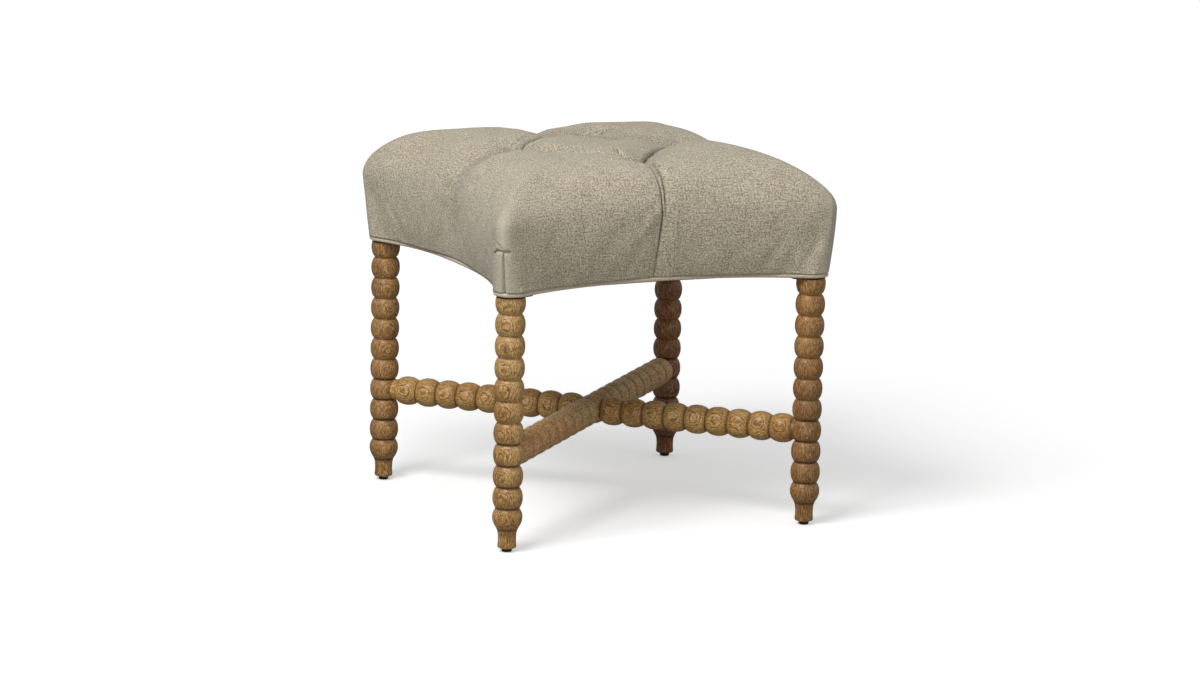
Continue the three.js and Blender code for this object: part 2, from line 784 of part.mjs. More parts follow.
function addDeck() {
  const screw = screwGeometry();
  addPiece('seat_deck', deckGeometry(), finishes.plywood, 0, 0, 0);
  for (const { name, quarterTurns } of sides) {
    const turn = (quarterTurns * Math.PI) / 2;
    screwPlaces().forEach(([x, y], i) => {
      const placed = screw.clone().translate(x, y, 0);
      addPiece(`deck_screw_${name}_${i + 1}`, placed, finishes.steel, 0, 0, turn);
    });
  }
}

// Tuft ties: twine sewn to the cover, drawn down through the pad and the deck and knotted on a toggle

function tieGeometry() {
  const headTop = crownHeight(tuftReach, 0) - coverThickness - clearance;
  const toggleFoot = deckUnderside - clearance - toggleThickness;
  const knotTop = toggleFoot - clearance;
  const [knotFoot, knotLower, knotUpper] = knotShares.map((share) => knotTop - share * knotRadius);
  return turned([
    [0, knotFoot],
    [knotRadius, knotLower],
    [knotRadius, knotUpper],
    [tieRadius, knotTop],
    [tieRadius, headTop - tieHeadThickness],
    [tieHeadRadius, headTop - tieHeadThickness],
    [tieHeadRadius, headTop],
    [0, headTop],
  ], smallSides);
}

function addTufts() {
  const tie = tieGeometry();
  const toggleTop = deckUnderside - clearance;
  const toggleFoot = toggleTop - toggleThickness;
  const toggle = ring(tieRadius + boreClearance, toggleRadius, toggleFoot, toggleTop, smallSides);
  tuftPlaces().forEach(([x, y], i) => {
    addPiece(`tuft_tie_${sides[i].name}`, tie, finishes.twine, x, y, 0);
    addPiece(`tuft_toggle_${sides[i].name}`, toggle, finishes.blackNylon, x, y, 0);
  });
}

// Welt: a round piping that follows the seat's lower edge

function weltGeometry() {
  const rings = [];
  for (let k = 0; k <= weltSides; k += 1) {
    const angle = (2 * Math.PI * k) / weltSides;
    const level = weltHeight + weltRadius * Math.sin(angle);
    const line = offsetOutline(outline(frameLine), weltOffset + weltRadius * Math.cos(angle));
    rings.push(raised(line, level, true));
  }
  return mergeVertices(geometryFrom(skinned(rings, null, null)));
}

// Dust cover: a cloth tacked under the rails, cut away round the posts

function dustCoverGeometry() {
  const top = railUnderside - clearance;
  const inner = frameReach - postSize - clearance;
  const far = frameReach + overrun;
  let cloth = frameSlab(dustCoverInset, top - dustCoverThickness, top);
  for (const { quarterTurns } of sides) {
    const notch = block(inner, far, inner, far, top - dustCoverThickness - overrun, top + overrun);
    cloth = cloth.subtract(solidOf(notch.rotateZ((quarterTurns * Math.PI) / 2)));
  }
  return geometryOf(cloth);
}

function addUpholstery() {
  addPiece('seat_pad', padGeometry(), finishes.foam, 0, 0, 0);
  addPiece('edge_wadding', edgeWaddingGeometry(), finishes.wadding, 0, 0, 0);
  addPiece('seat_cover', coverGeometry(), finishes.linen, 0, 0, 0);
  addPiece('welt', weltGeometry(), finishes.weltLinen, 0, 0, 0);
  addPiece('dust_cover', dustCoverGeometry(), finishes.cambric, 0, 0, 0);
}

addLegs();
addStretchers();
addFrame();
addDeck();
addTufts();
addUpholstery();

export default stool;
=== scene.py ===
"""A square footstool: a tufted linen seat on bobbin-turned oak legs with crossed bobbin-turned stretchers.

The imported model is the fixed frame. Each sub-assembly here builds its fine meshes over it and dresses them.
Sizes are in millimetres and are turned into metres where a mesh is made. +X is right, +Y back, +Z up.
"""

import json
import logging
import math
from collections.abc import Iterable, Sequence
from dataclasses import dataclass, field, replace
from enum import Enum

import bpy
import numpy as np
from mathutils import Matrix, Vector

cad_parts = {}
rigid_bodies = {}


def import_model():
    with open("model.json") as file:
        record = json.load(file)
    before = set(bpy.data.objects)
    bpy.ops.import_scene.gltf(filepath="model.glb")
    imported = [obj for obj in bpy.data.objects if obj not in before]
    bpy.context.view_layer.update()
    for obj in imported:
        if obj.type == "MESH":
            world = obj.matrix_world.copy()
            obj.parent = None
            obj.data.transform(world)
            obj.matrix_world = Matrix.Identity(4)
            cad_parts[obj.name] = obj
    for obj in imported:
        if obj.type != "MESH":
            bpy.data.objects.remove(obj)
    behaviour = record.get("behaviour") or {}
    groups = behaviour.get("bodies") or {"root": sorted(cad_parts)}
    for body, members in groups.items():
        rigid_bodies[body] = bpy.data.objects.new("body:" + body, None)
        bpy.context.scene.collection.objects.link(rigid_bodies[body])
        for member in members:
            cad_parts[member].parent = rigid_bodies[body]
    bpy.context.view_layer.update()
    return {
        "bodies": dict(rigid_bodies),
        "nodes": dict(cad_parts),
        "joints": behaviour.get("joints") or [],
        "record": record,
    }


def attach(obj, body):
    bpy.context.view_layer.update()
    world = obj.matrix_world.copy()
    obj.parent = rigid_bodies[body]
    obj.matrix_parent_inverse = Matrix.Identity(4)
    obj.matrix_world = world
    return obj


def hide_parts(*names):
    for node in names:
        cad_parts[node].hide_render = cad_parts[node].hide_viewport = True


LOG = logging.getLogger("footstool")
MM = 0.001
ROOT = "root"
RIGHT_ANGLE = math.pi / 2
EIGHTH_TURN = math.pi / 4


class Corner(Enum):
    """The four corners, each with its signs along X and Y."""

    FRONT_LEFT = (-1, -1)
    FRONT_RIGHT = (1, -1)
    BACK_RIGHT = (1, 1)
    BACK_LEFT = (-1, 1)

    @property
    def label(self) -> str:
        """The corner's name as it stands in a node's name."""
        return self.name.lower()


class Side(Enum):
    """The four sides, each with its turn from the right side in quarter turns."""

    RIGHT = 0
    BACK = 1
    LEFT = 2
    FRONT = 3

    @property
    def label(self) -> str:
        """The side's name as it stands in a node's name."""
        return self.name.lower()

    @property
    def angle(self) -> float:
        """The side's turn about Z."""
        return self.value * RIGHT_ANGLE


class Wiring:
    """Adds nodes to one tree and joins them up."""

    def __init__(self, tree: bpy.types.NodeTree) -> None:
        """Takes the tree to work on.

        Args:
            tree: A material's tree, a shader group or a Geometry Nodes tree.
        """
        self.tree = tree

    def node(self, kind: str, feeds: dict | None = None, **settings: object) -> bpy.types.Node:
        """Adds a node.

        Args:
            kind: The node's type name.
            feeds: Values or outputs for its inputs, by socket name or number.
            **settings: The node's own options.

        Returns:
            The new node.
        """
        made = self.tree.nodes.new(kind)
        for option, value in settings.items():
            setattr(made, option, value)
        for key, value in (feeds or {}).items():
            self.feed(made.inputs[key], value)
        return made

    def feed(self, socket: bpy.types.NodeSocket, value: object) -> None:
        """Links an output to a socket, or sets the socket's constant."""
        if isinstance(value, bpy.types.NodeSocket):
            self.tree.links.new(value, socket)
        else:
            socket.default_value = value

    def math(self, operation: str, *values: object, clamp: bool = False) -> bpy.types.NodeSocket:
        """Adds a Math node and returns its output."""
        made = self.node("ShaderNodeMath", operation=operation, use_clamp=clamp)
        for number, value in enumerate(values):
            self.feed(made.inputs[number], value)
        return made.outputs[0]

    def vector(self, operation: str, *values: object) -> bpy.types.NodeSocket:
        """Adds a Vector Math node and returns its vector."""
        made = self.node("ShaderNodeVectorMath", operation=operation)
        for number, value in enumerate(values):
            self.feed(made.inputs[number], value)
        return made.outputs[0]

    def noise(self, place: object, scale: float, detail: float = 2.0, rough: float = 0.5) -> bpy.types.Node:
        """Adds a Noise Texture; output 0 is its value and output 1 its colour."""
        feeds = {"Vector": place, "Scale": scale, "Detail": detail, "Roughness": rough}
        return self.node("ShaderNodeTexNoise", feeds)

    def ramp(self, value: object, low: float, high: float) -> bpy.types.NodeSocket:
        """Maps low..high to 0..1, softly, and returns the output."""
        feeds = {"Value": value, "From Min": low, "From Max": high}
        return self.node("ShaderNodeMapRange", feeds, interpolation_type="SMOOTHSTEP").outputs[0]

    def blend(self, share: object, first: object, second: object, kind: str = "MIX") -> bpy.types.NodeSocket:
        """Mixes two colours and returns the result."""
        made = self.node("ShaderNodeMix", data_type="RGBA", blend_type=kind)
        for number, value in ((0, share), (6, first), (7, second)):
            self.feed(made.inputs[number], value)
        return made.outputs[2]

    def parts(self, vector: object) -> bpy.types.bpy_prop_collection:
        """Splits a vector into X, Y and Z outputs."""
        return self.node("ShaderNodeSeparateXYZ", {0: vector}).outputs

    def joined(self, x: object, y: object, z: object) -> bpy.types.NodeSocket:
        """Joins X, Y and Z into one vector output."""
        return self.node("ShaderNodeCombineXYZ", {0: x, 1: y, 2: z}).outputs[0]


def new_group(name: str, takes: Iterable[tuple], gives: Iterable[str]) -> tuple[Wiring, dict, bpy.types.Node]:
    """Starts a shader node group.

    Args:
        name: The group's name.
        takes: Its inputs, each a name, a socket type and a default or None.
        gives: Names of its float outputs.

    Returns:
        The wiring, the input outputs by name, and the group's output node.
    """
    tree = bpy.data.node_groups.new(name, "ShaderNodeTree")
    for label, kind, default in takes:
        socket = tree.interface.new_socket(label, in_out="INPUT", socket_type=kind)
        if default is not None:
            socket.default_value = default
    for label in gives:
        tree.interface.new_socket(label, in_out="OUTPUT", socket_type="NodeSocketFloat")
    wiring = Wiring(tree)
    entry = wiring.node("NodeGroupInput")
    leave = wiring.node("NodeGroupOutput")
    return wiring, {socket.name: socket for socket in entry.outputs}, leave


class Effects:
    """The shader groups that several finishes share, each built once."""

    def __init__(self) -> None:
        """Builds every group."""
        self.grain = self._grain()
        self.weave = self._weave()
        self.dust = self._dust()

    @staticmethod
    def _grain() -> bpy.types.NodeTree:
        """Ring-porous wood whose grain runs along the vector's Z."""
        takes = [
            ("Vector", "NodeSocketVector", None),
            ("Pith X", "NodeSocketFloat", 0.06),
            ("Pith Y", "NodeSocketFloat", 0.03),
            ("Ring Spacing", "NodeSocketFloat", 0.0022),
            ("Wander", "NodeSocketFloat", 0.012),
        ]
        w, given, leave = new_group("wood grain", takes, ["Rings", "Pores", "Tone", "Fleck"])
        drawn_out = w.vector("MULTIPLY", given["Vector"], (1.0, 1.0, 0.2))
        drift = w.vector("SUBTRACT", w.noise(drawn_out, 14.0, 2.0).outputs[1], (0.5, 0.5, 0.5))
        wavy = w.vector("SUBTRACT", w.noise(given["Vector"], 130.0, 2.0).outputs[1], (0.5, 0.5, 0.5))
        scaled = w.node("ShaderNodeVectorMath", {0: drift, "Scale": given["Wander"]}, operation="SCALE").outputs[0]
        ripple = w.vector("MULTIPLY", wavy, (0.0024, 0.0024, 0.0))
        x, y, z = w.parts(w.vector("ADD", w.vector("ADD", given["Vector"], scaled), ripple))
        across_x = w.math("SUBTRACT", x, given["Pith X"])
        across_y = w.math("SUBTRACT", y, given["Pith Y"])
        squares = w.math("ADD", w.math("MULTIPLY", across_x, across_x), w.math("MULTIPLY", across_y, across_y))
        years = w.math("DIVIDE", w.math("SQRT", squares), given["Ring Spacing"])
        share = w.math("FRACT", years)
        year_tone = w.noise(w.joined(w.math("FLOOR", years), 0.5, 0.5), 3.7, 0.0).outputs[0]
        grown = w.math("MULTIPLY", w.ramp(share, 0.3, 0.95), w.ramp(share, 1.0, 0.93))
        rings = w.math("MULTIPLY", grown, w.math("ADD", 0.35, year_tone), clamp=True)
        fibre = w.joined(x, y, w.math("MULTIPLY", z, 0.09))
        streak = w.noise(fibre, 900.0, 2.0, 0.6).outputs[0]
        early = w.math("MULTIPLY", w.math("SUBTRACT", 1.0, w.ramp(share, 0.15, 0.7)), 0.08)
        pores = w.ramp(w.math("ADD", streak, early), 0.56, 0.66)
        tone = w.noise(drawn_out, 30.0, 3.0, 0.6).outputs[0]
        dashes = w.vector("MULTIPLY", given["Vector"], (1.0, 1.0, 0.4))
        fleck = w.ramp(w.noise(dashes, 520.0, 2.0, 0.6).outputs[0], 0.32, 0.68)
        for label, value in (("Rings", rings), ("Pores", pores), ("Tone", tone), ("Fleck", fleck)):
            w.feed(leave.inputs[label], value)
        return w.tree

    @staticmethod
    def _weave() -> bpy.types.NodeTree:
        """A plain weave of uneven threads that run along the vector's X and Y."""
        takes = [("Vector", "NodeSocketVector", None), ("Pitch", "NodeSocketFloat", 0.00075)]
        w, given, leave = new_group("plain weave", takes, ["Height", "Thread", "Slub", "Mottle", "Cloud"])
        wobble = w.vector("SUBTRACT", w.noise(given["Vector"], 90.0, 2.0).outputs[1], (0.5, 0.5, 0.5))
        place = w.vector("ADD", given["Vector"], w.vector("MULTIPLY", wobble, (0.0011, 0.0011, 0.0)))
        u, v, _ = w.parts(place)
        warp_count = w.math("DIVIDE", u, given["Pitch"])
        weft_count = w.math("DIVIDE", v, given["Pitch"])
        warp_round = w.math("ABSOLUTE", w.math("SINE", w.math("MULTIPLY", warp_count, math.pi)))
        weft_round = w.math("ABSOLUTE", w.math("SINE", w.math("MULTIPLY", weft_count, math.pi)))
        warp_row = w.math("FLOOR", warp_count)
        weft_row = w.math("FLOOR", weft_count)
        over = w.math("MODULO", w.math("ABSOLUTE", w.math("ADD", warp_row, weft_row)), 2.0)
        warp_bump = w.math("MULTIPLY", w.math("POWER", warp_round, 0.7), w.math("POWER", weft_round, 1.7))
        weft_bump = w.math("MULTIPLY", w.math("POWER", warp_round, 1.7), w.math("POWER", weft_round, 0.7))
        height = w.node("ShaderNodeMix", {0: over, 2: warp_bump, 3: weft_bump}).outputs[0]
        warp_place = w.joined(w.math("MULTIPLY", warp_row, 7.31), w.math("MULTIPLY", v, 70.0), 0.0)
        weft_place = w.joined(w.math("MULTIPLY", u, 70.0), w.math("MULTIPLY", weft_row, 5.17), 4.0)
        warp_tone = w.noise(warp_place, 1.0, 1.0).outputs[0]
        weft_tone = w.noise(weft_place, 1.0, 1.0).outputs[0]
        thread = w.node("ShaderNodeMix", {0: over, 2: warp_tone, 3: weft_tone}).outputs[0]
        along_u = w.noise(w.vector("MULTIPLY", given["Vector"], (60.0, 520.0, 0.0)), 1.0, 3.0, 0.65).outputs[0]
        along_v = w.noise(w.vector("MULTIPLY", given["Vector"], (520.0, 60.0, 0.0)), 1.0, 3.0, 0.65).outputs[0]
        slub = w.math("SUBTRACT", w.math("ADD", along_u, along_v), 0.5)
        mottle = w.ramp(w.noise(given["Vector"], 430.0, 3.0, 0.8).outputs[0], 0.28, 0.72)
        cloud = w.noise(given["Vector"], 26.0, 3.0, 0.6).outputs[0]
        made = {"Height": height, "Thread": thread, "Slub": slub, "Mottle": mottle, "Cloud": cloud}
        for label, value in made.items():
            w.feed(leave.inputs[label], value)
        return w.tree

    @staticmethod
    def _dust() -> bpy.types.NodeTree:
        """Soft patches and fine specks for plain materials."""
        takes = [("Vector", "NodeSocketVector", None), ("Speck Scale", "NodeSocketFloat", 900.0)]
        w, given, leave = new_group("fine dust", takes, ["Patch", "Speck"])
        patch = w.noise(given["Vector"], 30.0, 3.0, 0.6).outputs[0]
        speck_noise = w.noise(given["Vector"], 900.0, 2.0, 0.6)
        w.feed(speck_noise.inputs["Scale"], given["Speck Scale"])
        w.feed(leave.inputs["Patch"], patch)
        w.feed(leave.inputs["Speck"], w.ramp(speck_noise.outputs[0], 0.3, 0.72))
        return w.tree


Colour = tuple[float, float, float, float]


def tint(red: int, green: int, blue: int) -> Colour:
    """Turns an sRGB colour of 0 to 255 into the linear colour that the nodes take."""
    linear = []
    for level in (red, green, blue):
        share = level / 255
        linear.append(share / 12.92 if share <= 0.04045 else ((share + 0.055) / 1.055) ** 2.4)
    return (*linear, 1.0)


@dataclass(frozen=True)
class Finish:
    """A surface finish. Each kind of finish fills in its own nodes."""

    name: str

    def material(self, effects: Effects) -> bpy.types.Material:
        """Builds the material.

        Args:
            effects: The shared shader groups.

        Returns:
            The new material.
        """
        made = bpy.data.materials.new(self.name)
        made.use_nodes = True
        made.node_tree.nodes.clear()
        w = Wiring(made.node_tree)
        shader = w.node("ShaderNodeBsdfPrincipled")
        leave = w.node("ShaderNodeOutputMaterial")
        w.feed(leave.inputs["Surface"], shader.outputs[0])
        self.fill(w, shader, effects)
        return made

    def fill(self, w: Wiring, shader: bpy.types.Node, effects: Effects) -> None:
        """Adds the finish's own nodes; each kind has its own."""
        raise NotImplementedError

    @staticmethod
    def use(w: Wiring, group: bpy.types.NodeTree, feeds: dict) -> bpy.types.bpy_prop_collection:
        """Places a shared group and returns its outputs."""
        made = w.node("ShaderNodeGroup", node_tree=group)
        for key, value in feeds.items():
            w.feed(made.inputs[key], value)
        return made.outputs

    @staticmethod
    def bump(w: Wiring, shader: bpy.types.Node, height: object, distance: float, strength: float = 1.0) -> None:
        """Feeds a height into the shader's normal."""
        made = w.node("ShaderNodeBump", {"Height": height, "Distance": distance, "Strength": strength})
        w.feed(shader.inputs["Normal"], made.outputs[0])


@dataclass(frozen=True)
class LimedOak(Finish):
    """Turned oak under a thin wash of lime, darker in the notches with settled glaze and painted shade."""

    pith: tuple[float, float] = (58.0, 24.0)
    turn: tuple[float, float, float] = (0.0, 0.0, 0.0)
    light: Colour = tint(244, 194, 118)
    middle: Colour = tint(206, 150, 74)
    dark: Colour = tint(78, 40, 11)
    lime: Colour = tint(250, 222, 168)
    # Colour of the glaze and painted shade in the notches.
    glaze_and_shade: Colour = tint(44, 24, 12)
    ring_spacing: float = 1.4
    ringed: float = 0.68
    glazed_and_shaded: float = 0.88

    def fill(self, w: Wiring, shader: bpy.types.Node, effects: Effects) -> None:
        """Adds rings, flecks, limed pores, and glaze with painted shade in the notches."""
        place = w.node("ShaderNodeTexCoord").outputs["Object"]
        turned = w.node("ShaderNodeMapping", {"Vector": place, "Rotation": self.turn}).outputs[0]
        feeds = {
            "Vector": turned,
            "Pith X": self.pith[0] * MM,
            "Pith Y": self.pith[1] * MM,
            "Ring Spacing": self.ring_spacing * MM,
        }
        grain = self.use(w, effects.grain, feeds)
        body = w.blend(w.ramp(grain["Tone"], 0.35, 0.65), self.middle, self.light)
        body = w.blend(w.math("MULTIPLY", grain["Rings"], self.ringed), body, self.dark)
        body = w.blend(w.math("MULTIPLY", w.math("SUBTRACT", 1.0, grain["Fleck"]), 0.66), body, self.dark)
        body = w.blend(w.math("MULTIPLY", grain["Pores"], 0.4), body, self.lime)
        # Glaze and painted shade laid into the notches, deepest at their bottoms.
        hollow = w.node("ShaderNodeAttribute", attribute_name="hollow").outputs["Fac"]
        patchy = w.math("ADD", 0.55, w.math("MULTIPLY", grain["Tone"], 0.9))
        settled = w.math("MULTIPLY", w.ramp(hollow, 0.45, 1.0), patchy, clamp=True)
        body = w.blend(w.math("MULTIPLY", settled, self.glazed_and_shaded), body, self.glaze_and_shade)
        w.feed(shader.inputs["Base Color"], body)
        dull = w.math("ADD", 0.34, w.math("MULTIPLY", grain["Fleck"], 0.16))
        w.feed(shader.inputs["Roughness"], w.math("ADD", dull, w.math("MULTIPLY", grain["Pores"], 0.15)))
        shader.inputs["Coat Weight"].default_value = 0.15
        shader.inputs["Coat Roughness"].default_value = 0.18
        relief = w.math("ADD", w.math("MULTIPLY", grain["Rings"], 0.5), w.math("MULTIPLY", grain["Fleck"], 0.6))
        self.bump(w, shader, w.math("SUBTRACT", relief, grain["Pores"]), 0.18 * MM, 0.8)


@dataclass(frozen=True)
class Linen(Finish):
    """Slubby plain-woven linen on the piece's own cloth map, with painted shade in its folds and hollows and a painted
    highlight along its corners.
    """

    light: Colour = tint(250, 240, 218)
    dark: Colour = tint(142, 128, 102)
    shade: Colour = tint(30, 24, 17)
    painted_highlight: Colour = tint(255, 247, 228)
    pitch: float = 0.75
    relief: float = 0.2
    cloth_map: str = "cloth"

    def fill(self, w: Wiring, shader: bpy.types.Node, effects: Effects) -> None:
        """Adds threads, slubs, soft clouds of tone, painted shade and a painted highlight."""
        place = w.node("ShaderNodeAttribute", attribute_name=self.cloth_map).outputs["Vector"]
        cloth = self.use(w, effects.weave, {"Vector": place, "Pitch": self.pitch * MM})
        threads = w.math("ADD", w.math("MULTIPLY", cloth["Thread"], 0.3), w.math("MULTIPLY", cloth["Slub"], 0.5))
        tone = w.math("ADD", threads, w.math("MULTIPLY", cloth["Mottle"], 0.62))
        cloudy = w.math("MULTIPLY", w.math("SUBTRACT", cloth["Cloud"], 0.5), 0.16)
        share = w.ramp(w.math("ADD", tone, cloudy), 0.38, 1.02)
        body = w.blend(share, self.dark, self.light)
        # Painted shade in the hollows between the threads.
        hollow = w.math("POWER", w.math("SUBTRACT", 1.0, cloth["Height"]), 2.0)
        body = w.blend(w.math("MULTIPLY", hollow, 0.4), body, self.dark)
        # Painted shade in the seat's folds, slits, tufts and hollows.
        painted_shade = w.node("ShaderNodeAttribute", attribute_name="painted_shade").outputs["Fac"]
        body = w.blend(w.math("MULTIPLY", painted_shade, 0.9), body, self.shade)
        # Painted highlight along the seat's corners.
        wear_and_highlight = w.node("ShaderNodeAttribute", attribute_name="wear_and_highlight").outputs["Fac"]
        body = w.blend(w.math("MULTIPLY", wear_and_highlight, 0.46), body, self.painted_highlight)
        w.feed(shader.inputs["Base Color"], body)
        shader.inputs["Roughness"].default_value = 0.92
        shader.inputs["Specular IOR Level"].default_value = 0.25
        shader.inputs["Sheen Weight"].default_value = 0.22
        shader.inputs["Sheen Roughness"].default_value = 0.4
        height = w.math("ADD", cloth["Height"], w.math("MULTIPLY", cloth["Mottle"], 0.8))
        self.bump(w, shader, height, self.relief * MM)


@dataclass(frozen=True)
class SawnWood(Finish):
    """Raw sawn frame wood or the faces of a board."""

    light: Colour = tint(214, 186, 140)
    dark: Colour = tint(178, 143, 96)
    turn: tuple[float, float, float] = (0.0, RIGHT_ANGLE, 0.0)
    layers: float = 0.0
    # Height below which the frame wood takes painted shadow, where it shows under the welt.
    shadow_below: float = 361.5
    painted_shadow: Colour = tint(50, 36, 24)

    def fill(self, w: Wiring, shader: bpy.types.Node, effects: Effects) -> None:
        """Adds grain, painted shadow along the lower edge, and the plies of a board where it has layers."""
        place = w.node("ShaderNodeTexCoord").outputs["Object"]
        turned = w.node("ShaderNodeMapping", {"Vector": place, "Rotation": self.turn}).outputs[0]
        grain = self.use(w, effects.grain, {"Vector": turned, "Pith X": 0.11, "Ring Spacing": 0.005})
        body = w.blend(w.math("MULTIPLY", grain["Rings"], 0.8), self.light, self.dark)
        if self.layers > 0:
            height = w.math("DIVIDE", w.parts(place)[2], self.layers * MM)
            ply = w.ramp(w.math("ABSOLUTE", w.math("SINE", w.math("MULTIPLY", height, math.pi))), 0.2, 0.0)
            body = w.blend(w.math("MULTIPLY", ply, 0.6), body, self.dark)
        # Painted shadow below a height, where the frame shows under the welt.
        level = w.math("DIVIDE", w.parts(place)[2], MM)
        shadowed = w.ramp(w.math("ADD", level, w.math("MULTIPLY", grain["Fleck"], 1.5)), self.shadow_below + 2, self.shadow_below)
        body = w.blend(w.math("MULTIPLY", shadowed, 0.92), body, self.painted_shadow)
        w.feed(shader.inputs["Base Color"], body)
        w.feed(shader.inputs["Roughness"], w.math("ADD", 0.7, w.math("MULTIPLY", grain["Tone"], 0.2)))
        self.bump(w, shader, grain["Pores"], 0.2 * MM, 0.6)


@dataclass(frozen=True)
class FeltedCloth(Finish):
    """Unwoven cloth, such as a cambric dust cover or bonded wadding."""

    light: Colour = tint(62, 61, 60)
    dark: Colour = tint(34, 33, 33)
    dimple: float = 1.6

    def fill(self, w: Wiring, shader: bpy.types.Node, effects: Effects) -> None:
        """Adds bonded dimples and loose fibres."""
        place = w.node("ShaderNodeTexCoord").outputs["Object"]
        dust = self.use(w, effects.dust, {"Vector": place, "Speck Scale": 1400.0})
        cells = w.node("ShaderNodeTexVoronoi", {"Vector": place, "Scale": 1 / (self.dimple * MM)})
        pit = w.ramp(cells.outputs["Distance"], 0.45, 0.1)
        share = w.math("ADD", w.math("MULTIPLY", dust["Speck"], 0.7), w.math("MULTIPLY", pit, -0.3), clamp=True)
        w.feed(shader.inputs["Base Color"], w.blend(share, self.dark, self.light))
        shader.inputs["Roughness"].default_value = 0.95
        self.bump(w, shader, w.math("SUBTRACT", dust["Speck"], pit), 0.15 * MM)


@dataclass(frozen=True)
class Metal(Finish):
    """Zinc-plated steel with fine drawn marks."""

    base: Colour = tint(182, 184, 186)

    def fill(self, w: Wiring, shader: bpy.types.Node, effects: Effects) -> None:
        """Adds patches of plating and fine scratches."""
        place = w.node("ShaderNodeTexCoord").outputs["Object"]
        dust = self.use(w, effects.dust, {"Vector": place, "Speck Scale": 2500.0})
        dull = tint(138, 140, 140)
        w.feed(shader.inputs["Base Color"], w.blend(w.math("MULTIPLY", dust["Patch"], 0.5), self.base, dull))
        shader.inputs["Metallic"].default_value = 1.0
        w.feed(shader.inputs["Roughness"], w.math("ADD", 0.28, w.math("MULTIPLY", dust["Speck"], 0.16)))
        self.bump(w, shader, dust["Speck"], 0.02 * MM)


@dataclass(frozen=True)
class Moulded(Finish):
    """Moulded or waxed plain material, such as nylon or twine."""

    base: Colour = tint(30, 29, 28)
    wear_and_highlight: Colour = tint(58, 55, 52)
    rough: float = 0.45

    def fill(self, w: Wiring, shader: bpy.types.Node, effects: Effects) -> None:
        """Adds a fine moulded skin and scuffs."""
        place = w.node("ShaderNodeTexCoord").outputs["Object"]
        dust = self.use(w, effects.dust, {"Vector": place, "Speck Scale": 1800.0})
        scuffed = w.math("MULTIPLY", w.ramp(dust["Patch"], 0.5, 0.75), 0.5)
        w.feed(shader.inputs["Base Color"], w.blend(scuffed, self.base, self.wear_and_highlight))
        w.feed(shader.inputs["Roughness"], w.math("ADD", self.rough, w.math("MULTIPLY", scuffed, 0.4)))
        self.bump(w, shader, dust["Speck"], 0.05 * MM)


def mesh_piece(
    name: str, points: np.ndarray, faces: Sequence[Sequence[int]], materials: Sequence[bpy.types.Material]
) -> bpy.types.Object:
    """Makes a mesh object at the origin from points in millimetres.

    Args:
        name: The piece's name.
        points: An array of X, Y and Z rows.
        faces: Corner indices of each face.
        materials: Its material slots.

    Returns:
        The linked object.
    """
    mesh = bpy.data.meshes.new(name)
    mesh.from_pydata((np.asarray(points, float) * MM).tolist(), [], faces)
    mesh.update()
    for material in materials:
        mesh.materials.append(material)
    mesh.polygons.foreach_set("use_smooth", [True] * len(mesh.polygons))
    piece = bpy.data.objects.new(name, mesh)
    bpy.context.scene.collection.objects.link(piece)
    return piece


def loop_piece(name: str, points: np.ndarray) -> bpy.types.Object:
    """Makes a closed loop of edges through points in millimetres."""
    count = len(points)
    mesh = bpy.data.meshes.new(name)
    mesh.from_pydata((points * MM).tolist(), [(k, (k + 1) % count) for k in range(count)], [])
    piece = bpy.data.objects.new(name, mesh)
    bpy.context.scene.collection.objects.link(piece)
    return piece


def set_inputs(modifier: bpy.types.Modifier, values: dict[str, object]) -> None:
    """Sets a Geometry Nodes modifier's named inputs by their socket identifiers."""
    for item in modifier.node_group.interface.items_tree:
        if item.in_out == "INPUT" and values.get(item.name) is not None:
            modifier[item.identifier] = values[item.name]


def settled_copy(name: str, source: bpy.types.Object) -> bpy.types.Object:
    """Turns an object with live modifiers into a plain mesh object, and removes the source.

    Args:
        name: Name of the plain object.
        source: The object whose evaluated shape is kept.

    Returns:
        The plain object.
    """
    bpy.context.view_layer.update()
    graph = bpy.context.evaluated_depsgraph_get()
    mesh = bpy.data.meshes.new_from_object(source.evaluated_get(graph), depsgraph=graph)
    mesh.name = name
    bpy.data.objects.remove(source)
    piece = bpy.data.objects.new(name, mesh)
    bpy.context.scene.collection.objects.link(piece)
    return piece


def carve(piece: bpy.types.Object, tool: bpy.types.Object, join: bool = False) -> bpy.types.Object:
    """Cuts a tool's shape out of a piece, or joins it on, and removes the tool."""
    name = piece.name
    piece.name = name + "_uncut"
    tool.data.materials.clear()
    for material in piece.data.materials:
        tool.data.materials.append(material)
    cut = piece.modifiers.new("cut", "BOOLEAN")
    cut.operation = "UNION" if join else "DIFFERENCE"
    cut.solver = "EXACT"
    cut.object = tool
    done = settled_copy(name, piece)
    bpy.data.objects.remove(tool)
    finishes = [material for material in done.data.materials if material]
    done.data.materials.clear()
    for material in finishes[:1]:
        done.data.materials.append(material)
    done.data.polygons.foreach_set("material_index", [0] * len(done.data.polygons))
    return done


